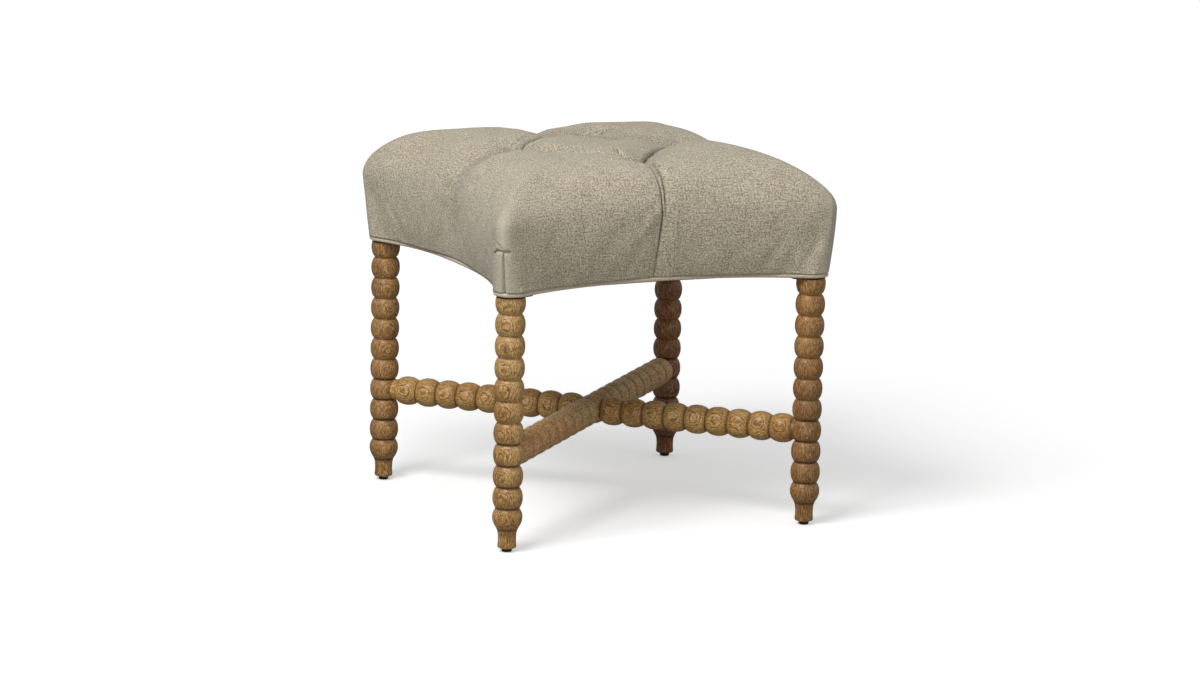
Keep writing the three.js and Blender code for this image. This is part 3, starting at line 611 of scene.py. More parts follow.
def turned_points(profile: Sequence[tuple[float, float]], sides: int) -> tuple[np.ndarray, list]:
    """Points and faces of a closed body turned about Z.

    Args:
        profile: Radius and height pairs from the foot up, the first and last on the axis.
        sides: Facets round the axis.

    Returns:
        The points in millimetres and the faces.
    """
    angles = np.linspace(0, 2 * math.pi, sides, endpoint=False)
    rings = [(r * np.cos(angles), r * np.sin(angles), np.full(sides, z)) for r, z in profile[1:-1]]
    points = [np.stack(ring, axis=1) for ring in rings]
    tips = np.array([[0, 0, profile[0][1]], [0, 0, profile[-1][1]]], float)
    count = len(rings)
    faces = []
    for row in range(count - 1):
        for k in range(sides):
            nxt = (k + 1) % sides
            faces.append((row * sides + k, row * sides + nxt, (row + 1) * sides + nxt, (row + 1) * sides + k))
    foot, head = count * sides, count * sides + 1
    for k in range(sides):
        nxt = (k + 1) % sides
        faces.append((foot, nxt, k))
        faces.append((head, (count - 1) * sides + k, (count - 1) * sides + nxt))
    return np.concatenate([*points, tips]), faces


def rod(name: str, radius: float, low: float, high: float, sides: int = 24) -> bpy.types.Object:
    """Makes a plain rod about Z, used as a cutting or joining tool."""
    points, faces = turned_points([(0, low), (radius, low), (radius, high), (0, high)], sides)
    return mesh_piece(name, points, faces, [])


def place_mesh(piece: bpy.types.Object, matrix: Matrix) -> bpy.types.Object:
    """Moves a piece's mesh by a matrix whose shift is in millimetres."""
    shifted = matrix.copy()
    shifted.translation = matrix.translation * MM
    piece.data.transform(shifted)
    piece.data.update()
    return piece


@dataclass(frozen=True)
class Turning:
    """One bobbin-turned rod, along +Z of its own axis.

    Attributes:
        low: Height of its lower end.
        first: Height of the first notch.
        last: Height of the last notch.
        high: Height of its upper end.
        pitch: Distance between notches.
        bead: Radius of a bead.
        notch: Radius in a notch.
        foot: Whether a turned foot takes the place of a plain collar below the first notch.
    """

    low: float
    first: float
    last: float
    high: float
    pitch: float
    bead: float
    notch: float
    foot: bool = False
    sides: int = 64
    steps: int = 16
    spare: float = 0.0


class BobbinTree:
    """The Geometry Nodes tree that makes every bobbin turning."""

    foot_shape = (
        (0.068, 0.385),
        (0.085, 0.54),
        (0.116, 0.62),
        (0.22, 0.606),
        (0.36, 0.607),
        (0.47, 0.645),
        (0.56, 0.755),
        (0.66, 0.915),
        (0.78, 1.0),
        (0.88, 0.975),
        (0.95, 0.89),
        (1.0, 0.79),
    )
    bead_power = 2.15
    bead_root = 0.77
    sizes = ("Lowest End", "First Notch", "Last Notch", "Highest End", "Pitch", "Bead Radius", "Notch Radius")

    def __init__(self) -> None:
        """Builds the tree."""
        self.tree = bpy.data.node_groups.new("bobbin turning", "GeometryNodeTree")
        interface = self.tree.interface
        interface.new_socket("Geometry", in_out="INPUT", socket_type="NodeSocketGeometry")
        for label in self.sizes:
            interface.new_socket(label, in_out="INPUT", socket_type="NodeSocketFloat")
        for label in ("Sides", "Rings", "Rings Below"):
            interface.new_socket(label, in_out="INPUT", socket_type="NodeSocketInt")
        interface.new_socket("Step", in_out="INPUT", socket_type="NodeSocketFloat")
        interface.new_socket("Foot", in_out="INPUT", socket_type="NodeSocketFloat")
        interface.new_socket("Finish", in_out="INPUT", socket_type="NodeSocketMaterial")
        interface.new_socket("Geometry", in_out="OUTPUT", socket_type="NodeSocketGeometry")
        self._wire(Wiring(self.tree))

    def _wire(self, w: Wiring) -> None:
        """Joins the tree's nodes: a cylinder whose rings are moved to the turned profile."""
        given = {socket.name: socket for socket in w.node("NodeGroupInput").outputs}
        step = given["Step"]
        depth = w.math("MULTIPLY", given["Rings"], step)
        blank = w.node("GeometryNodeMeshCylinder", fill_type="NGON")
        feeds = (("Vertices", "Sides"), ("Side Segments", "Rings"))
        for label, source in feeds:
            w.feed(blank.inputs[label], given[source])
        w.feed(blank.inputs["Radius"], 1.0)
        w.feed(blank.inputs["Depth"], depth)
        x, y, z = w.parts(w.node("GeometryNodeInputPosition").outputs[0])
        start = w.math("SUBTRACT", given["First Notch"], w.math("MULTIPLY", given["Rings Below"], step))
        level = w.math("ADD", w.math("ADD", z, w.math("MULTIPLY", depth, 0.5)), start)
        level = w.math("MINIMUM", w.math("MAXIMUM", level, given["Lowest End"]), given["Highest End"])
        radius = self._radius(w, given, level)
        shaped = w.joined(w.math("MULTIPLY", x, radius), w.math("MULTIPLY", y, radius), level)
        moved = w.node("GeometryNodeSetPosition", {"Geometry": blank.outputs["Mesh"], "Position": shaped})
        drop = w.math("SUBTRACT", given["Bead Radius"], radius)
        depth_share = w.math("DIVIDE", drop, w.math("SUBTRACT", given["Bead Radius"], given["Notch Radius"]))
        above_foot = w.math("GREATER_THAN", level, w.math("MULTIPLY", given["First Notch"], 0.9))
        hollow = w.math("MULTIPLY", depth_share, above_foot, clamp=True)
        stored = w.node("GeometryNodeStoreNamedAttribute", data_type="FLOAT", domain="POINT")
        w.feed(stored.inputs["Geometry"], moved.outputs[0])
        w.feed(stored.inputs["Name"], "hollow")
        w.feed(stored.inputs["Value"], hollow)
        real = w.node("GeometryNodeRealizeInstances", {0: stored.outputs[0]})
        dressed = w.node("GeometryNodeSetMaterial", {"Geometry": real.outputs[0], "Material": given["Finish"]})
        w.feed(w.node("NodeGroupOutput").inputs[0], dressed.outputs[0])

    def _radius(self, w: Wiring, given: dict, level: bpy.types.NodeSocket) -> bpy.types.NodeSocket:
        """The turned radius at a height."""
        bead, notch, pitch = given["Bead Radius"], given["Notch Radius"], given["Pitch"]
        drop = w.math("SUBTRACT", bead, notch)
        cell = w.math("FRACT", w.math("DIVIDE", w.math("SUBTRACT", level, given["First Notch"]), pitch))
        away = w.math("ABSOLUTE", w.math("SUBTRACT", w.math("MULTIPLY", cell, 2.0), 1.0))
        inside = w.math("SUBTRACT", 1.0, w.math("POWER", away, self.bead_power), clamp=True)
        beaded = w.math("ADD", notch, w.math("MULTIPLY", drop, w.math("POWER", inside, self.bead_root)))
        curve = w.node("ShaderNodeFloatCurve")
        points = curve.mapping.curves[0].points
        points[0].location = self.foot_shape[0]
        points[1].location = self.foot_shape[-1]
        for place in self.foot_shape[1:-1]:
            points.new(*place)
        curve.mapping.update()
        w.feed(curve.inputs["Value"], w.math("DIVIDE", level, given["First Notch"]))
        footed = w.math("MULTIPLY", curve.outputs[0], bead)
        plain = w.node("ShaderNodeMix", {0: given["Foot"], 2: notch, 3: footed}).outputs[0]
        outside = w.math("MAXIMUM", w.math("LESS_THAN", level, given["First Notch"]),
                         w.math("GREATER_THAN", level, given["Last Notch"]))
        return w.node("ShaderNodeMix", {0: outside, 2: beaded, 3: plain}).outputs[0]

    def make(self, name: str, turning: Turning, finish: bpy.types.Material | None) -> bpy.types.Object:
        """Makes one turning as a plain mesh along Z.

        Args:
            name: The piece's name.
            turning: Its sizes in millimetres.
            finish: Its material.

        Returns:
            The plain mesh object, at the origin.
        """
        step = turning.pitch / turning.steps
        below = math.ceil((turning.first - turning.low) / step)
        rings = below + math.ceil((turning.high - turning.first) / step)
        blank = bpy.data.objects.new(name + "_blank", bpy.data.meshes.new(name + "_blank"))
        bpy.context.scene.collection.objects.link(blank)
        turned = blank.modifiers.new("turning", "NODES")
        turned.node_group = self.tree
        values = {
            "Lowest End": turning.low * MM,
            "First Notch": turning.first * MM,
            "Last Notch": turning.last * MM,
            "Highest End": turning.high * MM,
            "Pitch": turning.pitch * MM,
            "Bead Radius": (turning.bead + turning.spare) * MM,
            "Notch Radius": (turning.notch + turning.spare) * MM,
            "Sides": turning.sides,
            "Rings": rings,
            "Rings Below": below,
            "Step": step * MM,
            "Foot": float(turning.foot),
            "Finish": finish,
        }
        set_inputs(turned, values)
        return settled_copy(name, blank)


def crisp(piece: bpy.types.Object, degrees: float = 35.0) -> bpy.types.Object:
    """Shades a piece smooth but keeps its notches and edges sharp."""
    mesh = piece.data
    mesh.polygons.foreach_set("use_smooth", [True] * len(mesh.polygons))
    mesh.set_sharp_from_angle(angle=math.radians(degrees))
    mesh.update()
    return piece


def dress(piece: bpy.types.Object, slot: str, *nodes: str) -> bpy.types.Object:
    """Hands a finished piece to the frame: its body and the nodes that it stands for."""
    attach(piece, ROOT)
    if nodes:
        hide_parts(*nodes)
    triangles = sum(len(face.vertices) - 2 for face in piece.data.polygons)
    LOG.info("%s: %d triangles", piece.name, triangles)
    return piece


@dataclass
class TurnedLegs:
    """The four bobbin-turned legs and the glides nailed into their feet."""

    reach: float = 228.0
    top: float = 353.2
    sole: float = 4.1
    first_notch: float = 60.4
    pitch: float = 30.0
    bead: float = 20.75
    notch: float = 15.4
    bolt_bore: float = 4.4
    bolt_depth: float = 45.3
    nail_bore: float = 1.6
    nail_depth: float = 14.0
    mortise_radius: float = 8.4
    mortise_floor: float = 4.45
    stretcher_height: float = 135.4
    glide_radius: float = 7.0
    glide_thickness: float = 3.8
    overrun: float = 5.0

    def build(self, tree: BobbinTree, finishes: dict[Corner, bpy.types.Material], nylon: bpy.types.Material) -> None:
        """Makes and dresses the legs and glides.

        Args:
            tree: The tree that makes bobbin turnings.
            finishes: The oak of each leg.
            nylon: The glides' material.
        """
        for corner in Corner:
            self._leg(tree, corner, finishes[corner])
            self._glide(corner, nylon)

    def turning(self, spare: float = 0.0) -> Turning:
        """The leg's turning, thickened by spare."""
        return Turning(
            self.sole, self.first_notch, self.top + self.pitch, self.top,
            self.pitch, self.bead, self.notch, foot=True, spare=spare,
        )

    def _leg(self, tree: BobbinTree, corner: Corner, oak: bpy.types.Material) -> None:
        """One leg, bored for its bolt, its glide's nail and its stretcher."""
        x, y = corner.value
        leg = tree.make(f"turned_leg_{corner.label}", self.turning(), oak)
        bolt = rod("bolt_bore", self.bolt_bore, self.top - self.bolt_depth, self.top + self.overrun)
        nail = rod("nail_bore", self.nail_bore, self.sole - self.overrun, self.sole + self.nail_depth)
        mortise = rod("mortise", self.mortise_radius, self.mortise_floor, self.bead + self.overrun)
        turn = Matrix.Rotation(math.atan2(-y, -x), 4, "Z") @ Matrix.Translation((0, 0, self.stretcher_height))
        place_mesh(mortise, turn @ Matrix.Rotation(RIGHT_ANGLE, 4, "Y"))
        for tool in (bolt, nail, mortise):
            leg = carve(leg, tool)
        place_mesh(leg, Matrix.Translation((x * self.reach, y * self.reach, 0)))
        dress(crisp(leg), "oak", f"leg_{corner.label}")

    def _glide(self, corner: Corner, nylon: bpy.types.Material) -> None:
        """One moulded glide with a rounded edge and its nail."""
        radius, high = self.glide_radius, self.glide_thickness
        edge = 1.4
        arc = [
            (radius - edge + edge * math.sin(share * RIGHT_ANGLE), edge - edge * math.cos(share * RIGHT_ANGLE))
            for share in np.linspace(0, 1, 6)
        ]
        nail = self.nail_bore - 0.4
        tip = high + self.nail_depth
        profile = [(0, 0), *arc, (radius, high - 0.4), (radius - 0.4, high), (nail, high), (nail, tip - 2 * nail), (0, tip)]
        points, faces = turned_points(profile, 32)
        glide = mesh_piece(f"foot_glide_{corner.label}", points, faces, [nylon])
        x, y = corner.value
        place_mesh(glide, Matrix.Translation((x * self.reach, y * self.reach, 0)))
        dress(crisp(glide, 30), "black_nylon", f"glide_{corner.label}")


@dataclass
class CrossStretchers:
    """The two bobbin-turned stretchers that cross in an X and are let into one another."""

    legs: TurnedLegs
    beads: int = 19
    bead: float = 20.75
    notch: float = 14.9
    lower_shift: float = 1.6
    clearance: float = 0.3
    tenon_radius: float = 8.0
    tenon_length: float = 16.0
    point_reach: float = 17.0
    tongue_half_width: float = 11.0
    tongue_radius: float = 16.5
    tongue_grip: float = 8.0
    pin_bore: float = 3.4
    pin_reach: float = 10.3
    overrun: float = 5.0

    def build(self, tree: BobbinTree, upper_oak: bpy.types.Material, lower_oak: bpy.types.Material) -> None:
        """Makes and dresses both stretchers."""
        upper = self._upper(tree, upper_oak)
        lower = self._lower(tree, lower_oak)
        lift = Matrix.Translation((0, 0, self.legs.stretcher_height))
        place_mesh(upper, lift @ Matrix.Rotation(EIGHTH_TURN, 4, "Z"))
        place_mesh(lower, lift @ Matrix.Rotation(-EIGHTH_TURN, 4, "Z"))
        dress(crisp(upper), "oak", "stretcher_upper")
        dress(crisp(lower), "oak", "stretcher_lower")

    def _span(self) -> float:
        """The distance between the axes of opposite legs."""
        return 2 * self.legs.reach * math.sqrt(2)

    def _blank(
        self, tree: BobbinTree, name: str, oak: bpy.types.Material | None, spare: float = 0.0, shift: float = 0.0
    ) -> bpy.types.Object:
        """A whole stretcher along X, middle on the origin, running into both legs' axes."""
        half_span = self._span() / 2
        half_beads = half_span - self.legs.bead
        pitch = 2 * half_beads / self.beads
        turning = Turning(
            -half_span, shift - half_beads, shift + half_beads, half_span, pitch, self.bead, self.notch, spare=spare,
        )
        blank = tree.make(name, turning, oak)
        return place_mesh(blank, Matrix.Rotation(RIGHT_ANGLE, 4, "Y"))

    def _fit_ends(self, piece: bpy.types.Object, tree: BobbinTree) -> bpy.types.Object:
        """Scribes both ends to the legs' beads and adds the round tenons."""
        for end in (-1, 1):
            envelope = tree.make("leg_envelope", self.legs.turning(self.clearance), None)
            place_mesh(envelope, Matrix.Translation((end * self._span() / 2, 0, -self.legs.stretcher_height)))
            piece = carve(piece, envelope)
        reach = self._span() / 2 - self.legs.bead + self.tenon_length
        tenon = rod("tenon", self.tenon_radius, -reach, reach)
        place_mesh(tenon, Matrix.Rotation(RIGHT_ANGLE, 4, "Y"))
        return carve(piece, tenon, join=True)

    def _box(self, name: str, low: Sequence[float], high: Sequence[float]) -> bpy.types.Object:
        """A cutting block between two corners."""
        corners = [(x, y, z) for z in (low[2], high[2]) for y in (low[1], high[1]) for x in (low[0], high[0])]
        faces = [(0, 2, 3, 1), (4, 5, 7, 6), (0, 1, 5, 4), (2, 6, 7, 3), (0, 4, 6, 2), (1, 3, 7, 5)]
        return mesh_piece(name, np.array(corners, float), faces, [])

    def _upper(self, tree: BobbinTree, oak: bpy.types.Material) -> bpy.types.Object:
        """The whole stretcher, slotted from below at the crossing."""
        piece = self._fit_ends(self._blank(tree, "turned_stretcher_upper", oak), tree)
        wide = self.tongue_half_width + self.clearance
        deep = self.bead + self.overrun
        slot = self._box("slot", (-wide, -deep, -deep), (wide, deep, self.clearance / 2))
        piece = carve(piece, slot)
        return carve(piece, rod("pin_bore", self.pin_bore, -self.overrun, self.pin_reach))

    def _lower(self, tree: BobbinTree, oak: bpy.types.Material) -> bpy.types.Object:
        """The stretcher scribed to both sides of the upper one, with a tongue that passes under it."""
        blank = self._blank(tree, "turned_stretcher_lower", oak, shift=self.lower_shift)
        piece = self._fit_ends(blank, tree)
        wide = self.bead + self.overrun
        far = self.point_reach + wide
        envelope = self._blank(tree, "upper_envelope", None, self.clearance)
        place_mesh(envelope, Matrix.Rotation(RIGHT_ANGLE, 4, "Z"))
        piece = carve(piece, envelope)
        reach = self.point_reach + self.tongue_grip
        tongue = rod("tongue", self.tongue_radius, -reach, reach, 48)
        place_mesh(tongue, Matrix.Rotation(RIGHT_ANGLE, 4, "Y"))
        edge = self.tongue_half_width
        top = self._box("above_tongue", (-far, -wide, -self.clearance / 2), (far, wide, wide))
        tongue = carve(tongue, top)
        for side in (-1, 1):
            low, high = sorted((side * edge, side * wide))
            tongue = carve(tongue, self._box("beside_tongue", (-far, low, -wide), (far, high, wide)))
        piece = carve(piece, tongue, join=True)
        return carve(piece, rod("pin_bore", self.pin_bore, -wide, self.overrun))


@dataclass
class ScoopedOutline:
    """The outline of the seat and its frame, scooped between the corners."""

    scoop: float = 38.5
    power: float = 3.0

    def edge(self, along: np.ndarray, reach: float, ear: float) -> np.ndarray:
        """How far a side is from the middle, by the place along it."""
        share = np.minimum(1.0, np.abs(along) / (reach - ear))
        return reach - self.scoop * (1 - share**self.power)

    @staticmethod
    def rounded(u: np.ndarray, v: np.ndarray, power: float, pull: float = 4.0) -> tuple[np.ndarray, ...]:
        """Rounds a square's corners.

        Args:
            u: Share of the way out along X.
            v: Share of the way out along Y.
            power: Power of the rounded square, higher for sharper corners.
            pull: How much more the edge is rounded than the middle.

        Returns:
            The rounded shares along X and Y, and the share of the way out.
        """
        out = np.maximum(np.abs(u), np.abs(v))
        norm = (np.abs(u) ** power + np.abs(v) ** power) ** (1 / power)
        ratio = np.divide(out, norm, out=np.ones_like(out), where=norm > 0)
        draw = 1 - (1 - ratio) * out**pull
        return u * draw, v * draw, norm * ratio ** (out**pull)

    def places(self, u: np.ndarray, v: np.ndarray, reach: float, ear: float, power: float) -> np.ndarray:
        """X and Y rows of the outline's places at the shares u and v."""
        a, b, _ = self.rounded(u, v, power)
        x = a * self.edge(b * reach, reach, ear)
        y = b * self.edge(a * reach, reach, ear)
        return np.stack([x, y], axis=-1)

    @staticmethod
    def offset(loop: np.ndarray, distance: float) -> np.ndarray:
        """A closed anticlockwise loop moved outwards by a distance."""
        ahead = np.roll(loop, -1, axis=0) - np.roll(loop, 1, axis=0)
        ahead /= np.linalg.norm(ahead, axis=1)[:, None]
        return loop + distance * np.stack([ahead[:, 1], -ahead[:, 0]], axis=1)


@dataclass(frozen=True)
class Crease:
    """A fold, pleat or wrinkle in the seat's cloth.

    Attributes:
        places: Its points on the seat's unrolled plan, in millimetres.
        depths: Depth of its valley at each point.
        width: Distance from its bottom to where the cloth is full again.
        crisp: How sharply its sides meet, from 0 for a soft dip to 1 for two round lobes.
        slit: Extra depth of the narrow slit along its bottom.
        slit_width: Half the width of that slit.
    """

    places: tuple[tuple[float, float], ...]
    depths: tuple[float, ...]
    width: float
    crisp: float = 0.85
    slit: float = 0.0
    slit_width: float = 2.6


def valley(gap: np.ndarray, width: float, crispness: float) -> np.ndarray:
    """Depth share of a fold, 1 at its bottom and 0 at its width.

    Args:
        gap: Distance from the fold's bottom.
        width: Distance at which the cloth is full again.
        crispness: 1 where two round lobes meet in a line, 0 for a smooth dip.

    Returns:
        The depth share at each distance.
    """
    near = np.clip(1 - gap / width, 0, 1)
    soft = near**2 * (3 - 2 * near)
    lobes = 1 - np.sqrt(np.clip(1 - near**2, 0, 1))
    return (1 - crispness) * soft + crispness * lobes


@dataclass(frozen=True)
class Tufting:
    """Where the four tufts sit, and the creases that run between them and over the sides.

    The plan is unrolled: a side's cloth lies flat beyond its shoulder, so a crease can run straight down it.
    """

    front: tuple[float, float] = (4.0, -128.0)
    right: tuple[float, float] = (127.0, 0.0)
    back: tuple[float, float] = (4.0, 124.0)
    left: tuple[float, float] = (-125.0, 2.0)
    depth: float = 34.0
    width: float = 52.0
    foot: float = 322.0
    corner: float = 251.8
    seam_drop: float = 33.0
    shade_width: float = 12.0
    slit_shade: float = 6.0
    hollow_shade: float = 0.34

    def tufts(self) -> dict[Side, tuple[float, float]]:
        """The place of each tuft by its side."""
        return {Side.RIGHT: self.right, Side.BACK: self.back, Side.LEFT: self.left, Side.FRONT: self.front}

    @staticmethod
    def _between(start: tuple[float, float], end: tuple[float, float], shares: Sequence[float]) -> tuple:
        """Points at shares of the way from one place to another."""
        return tuple((start[0] + (end[0] - start[0]) * s, start[1] + (end[1] - start[1]) * s) for s in shares)

    def creases(self) -> list[Crease]:
        """Every crease in the cloth."""
        return [*self._folds(), *self._pleats(), *self._wrinkles(), *self._corner_seams()]

    def _folds(self) -> list[Crease]:
        """The four folds between neighbouring tufts."""
        shares = (0.0, 0.22, 0.5, 0.78, 1.0)
        return [
            Crease(self._between(self.front, self.right, shares), (20, 16, 12, 16, 22), 50, 0.45, 4.0, 3.0),
            Crease(self._between(self.left, self.front, shares), (20, 14, 10, 13, 20), 34, 0.75, 2.4),
            Crease(self._between(self.left, self.back, shares), (20, 10, 6.5, 12, 22), 30, 0.75, 4.0),
            Crease(self._between(self.back, self.right, shares), (24, 22, 20, 22, 24), 62, 0.4, 2.0),
        ]

    def _pleats(self) -> list[Crease]:
        """The pleat from each tuft over the shoulder to the welt; the left one is only a soft valley."""
        foot = self.foot
        return [
            Crease((self.front, (3, -175), (0, -228), (-9, -foot)), (20, 9, 4.5, 1.6), 28, 0.75, 5.0),
            Crease((self.left, (-180, 1), (-226, 0), (-foot, 0)), (20, 13, 8, 0.4), 50, 0.3),
            Crease((self.right, (176, 2), (228, 3), (foot, 8)), (20, 9, 4.5, 1.0), 32, 0.7, 3.0),
            Crease((self.back, (-21, 154), (-24, 196), (-14, 232), (-6, foot)), (20, 14, 12, 8, 1.0), 40, 0.7, 3.0),
        ]

    def _wrinkles(self) -> list[Crease]:
        """Tucks beside the folds and short darts that run out from the tufts."""
        return [
            Crease(((10, -146), (11, -180), (9, -206), (4, -232)), (3, 3, 2, 0), 8, 0.8, 4.4),
            Crease(((20, -116), (36, -92), (62, -62), (87, -36), (112, -8)), (2, 4, 4, 3, 0), 7, 0.8, 8.0, 3.0),
            Crease(((-100, -30), (-79, -25), (-64, -32), (-50, -40), (-38, -60)), (0, 2, 2, 2, 0), 8, 0.6, 2.4),
            Crease(((-119, 24), (-95, 48), (-60, 84), (-45, 96)), (0, 2.2, 2.2, 0), 7, 0.7, 2.6),
            Crease((self.back, (32, 121), (56, 117), (92, 116)), (10, 10, 8, 0), 15, 0.8, 4.0),
            Crease((self.front, (-8, -98), (-12, -72)), (5, 5, 0), 9, 0.8, 2.0),
            Crease((self.left, (-94, 12), (-68, 16)), (4, 4, 0), 9, 0.8, 1.5),
            Crease((self.right, (98, -10), (74, -14)), (5, 5, 0), 9, 0.8, 1.5),
            Crease((self.left, (-150, -30), (-166, -58)), (4, 2, 0), 14, 0.4),
            Crease((self.front, (36, -150), (62, -166)), (4, 2, 0), 12, 0.5),
            Crease(((226, -268), (230, -300), (224, -340)), (0, 1.8, 0.6), 10, 0.0),
            Crease(((196, -270), (203, -310), (200, -345)), (0, 1.4, 0.6), 13, 0.0),
        ]

    def _corner_seams(self) -> list[Crease]:
        """The seam up each corner, and at the near corner the tuck and darts that end it."""
        far, top, foot = self.corner, self.corner + self.seam_drop, self.corner + 92.0
        seam = Crease(((far, top), (far, top + 4), (far, foot)), (0, 0.7, 0.7), 5, 0.6, 4.5, 1.5)
        left_tuck = ((far, top), (far - 13.6, top + 6.8), (far - 34, top + 9.4))
        right_tuck = ((far, top), (far - 3.6, top + 3), (far - 9, top + 5.9))
        darts = (
            ((far, top - 4), (far - 10, top - 6), (far - 19, top - 12)),
            ((far - 14, top + 1), (far - 24, top - 2), (far - 30, top - 3)),
        )
        made = []
        for corner in Corner:
            x, y = corner.value
            ways = [(False, seam), (True, seam)]
            if corner is Corner.FRONT_LEFT:
                ways.append((False, Crease(right_tuck, (1.2, 1.2, 0), 5, 0.5, 3.4, 2.2)))
                ways.append((True, Crease(left_tuck, (1.2, 1.0, 0), 5, 0.5, 3.4, 2.2)))
                ways += [(True, Crease(dart, (1.0, 1.0, 0), 6, 0.3, 1.6, 2.0)) for dart in darts]
            for turned, way in ways:
                places = tuple((v * x, u * y) if turned else (u * x, v * y) for u, v in way.places)
                made.append(replace(way, places=places))
        return made


@dataclass(frozen=True)
class Lobe:
    """A rise of the stuffing.

    Attributes:
        place: Its middle on the plan.
        rise: How far it stands above the even crown.
        width: Distance at which it has faded out.
    """

    place: tuple[float, float]
    rise: float
    width: float


@dataclass(frozen=True)
class Settling:
    """The cloth simulation that blows the seat's cloth out between its tufts, on every few points of its grid."""

    stride: int = 4
    frames: int = 20
    pressure: float = 4.0
    cap: float = 2.5
    swell: float = 1.0
    hold_width: float = 14.0
    corner_power: float = 8.0
    mass: float = 0.3
    tension: float = 15.0
    bending: float = 0.6
    quality: int = 6

    def run(
        self, full: np.ndarray, held: np.ndarray, normals: np.ndarray, top: np.ndarray, side: np.ndarray
    ) -> np.ndarray:
        """Simulates the coarse cloth.

        Args:
            full: Every point of the seat's form, in millimetres.
            held: How firmly each is held, from 0 to 1.
            normals: Outward unit normals of the points.
            top: Numbers of the coarse points on the top, by row and column.
            side: Numbers of the coarse points on the sides, the first row shared with the top's edge.

        Returns:
            How far each of the coarse points moves, in millimetres, in an array as long as full.
        """
        used = np.unique(np.concatenate([top.ravel(), side.ravel()]))
        number = np.full(len(full), -1)
        number[used] = np.arange(len(used))
        ahead = np.roll(side, -1, axis=1)
        quads = np.concatenate(
            [
                np.stack([top[:-1, :-1], top[1:, :-1], top[1:, 1:], top[:-1, 1:]], axis=2).reshape(-1, 4),
                np.stack([side[:-1], side[1:], ahead[1:], ahead[:-1]], axis=2).reshape(-1, 4),
            ]
        )
        slimmer = full[used] - normals[used] * (self.swell * (1 - held[used]))[:, None]
        blank = mesh_piece("settling_cloth", slimmer, number[quads].tolist(), [])
        self._pin(blank, held[used])
        self._cloth(blank)
        scene = bpy.context.scene
        scene.frame_start, scene.frame_end = 1, self.frames
        for frame in range(1, self.frames + 1):
            scene.frame_set(frame)
        settled = blank.evaluated_get(bpy.context.evaluated_depsgraph_get())
        places = np.empty(3 * len(used), np.float32)
        settled.data.vertices.foreach_get("co", places)
        mesh = blank.data
        bpy.data.objects.remove(blank)
        bpy.data.meshes.remove(mesh)
        scene.frame_set(1)
        shift = places.reshape(-1, 3).astype(float) / MM - full[used]
        length = np.linalg.norm(shift, axis=1)
        LOG.info("settling: mean move %.2f mm, most %.2f mm before its cap", length.mean(), length.max())
        shift *= np.minimum(1.0, self.cap / np.maximum(length, 1e-6))[:, None]
        moves = np.zeros_like(full)
        moves[used] = shift
        return moves

    @staticmethod
    def _pin(blank: bpy.types.Object, held: np.ndarray) -> None:
        """Adds the group that holds the cloth at its tufts, folds and lower edge."""
        group = blank.vertex_groups.new(name="held")
        for number, weight in enumerate(held):
            if weight > 0.01:
                group.add([number], float(weight), "REPLACE")

    def _cloth(self, blank: bpy.types.Object) -> None:
        """Adds the cloth simulation."""
        cloth = blank.modifiers.new("cloth", "CLOTH")
        settings = cloth.settings
        settings.quality = self.quality
        settings.mass = self.mass
        settings.tension_stiffness = self.tension
        settings.compression_stiffness = self.tension
        settings.bending_stiffness = self.bending
        settings.use_pressure = True
        settings.uniform_pressure_force = self.pressure
        settings.effector_weights.gravity = 0.0
        settings.vertex_group_mass = "held"
        cloth.collision_settings.use_collision = False
        cloth.point_cache.frame_start = 1
        cloth.point_cache.frame_end = self.frames


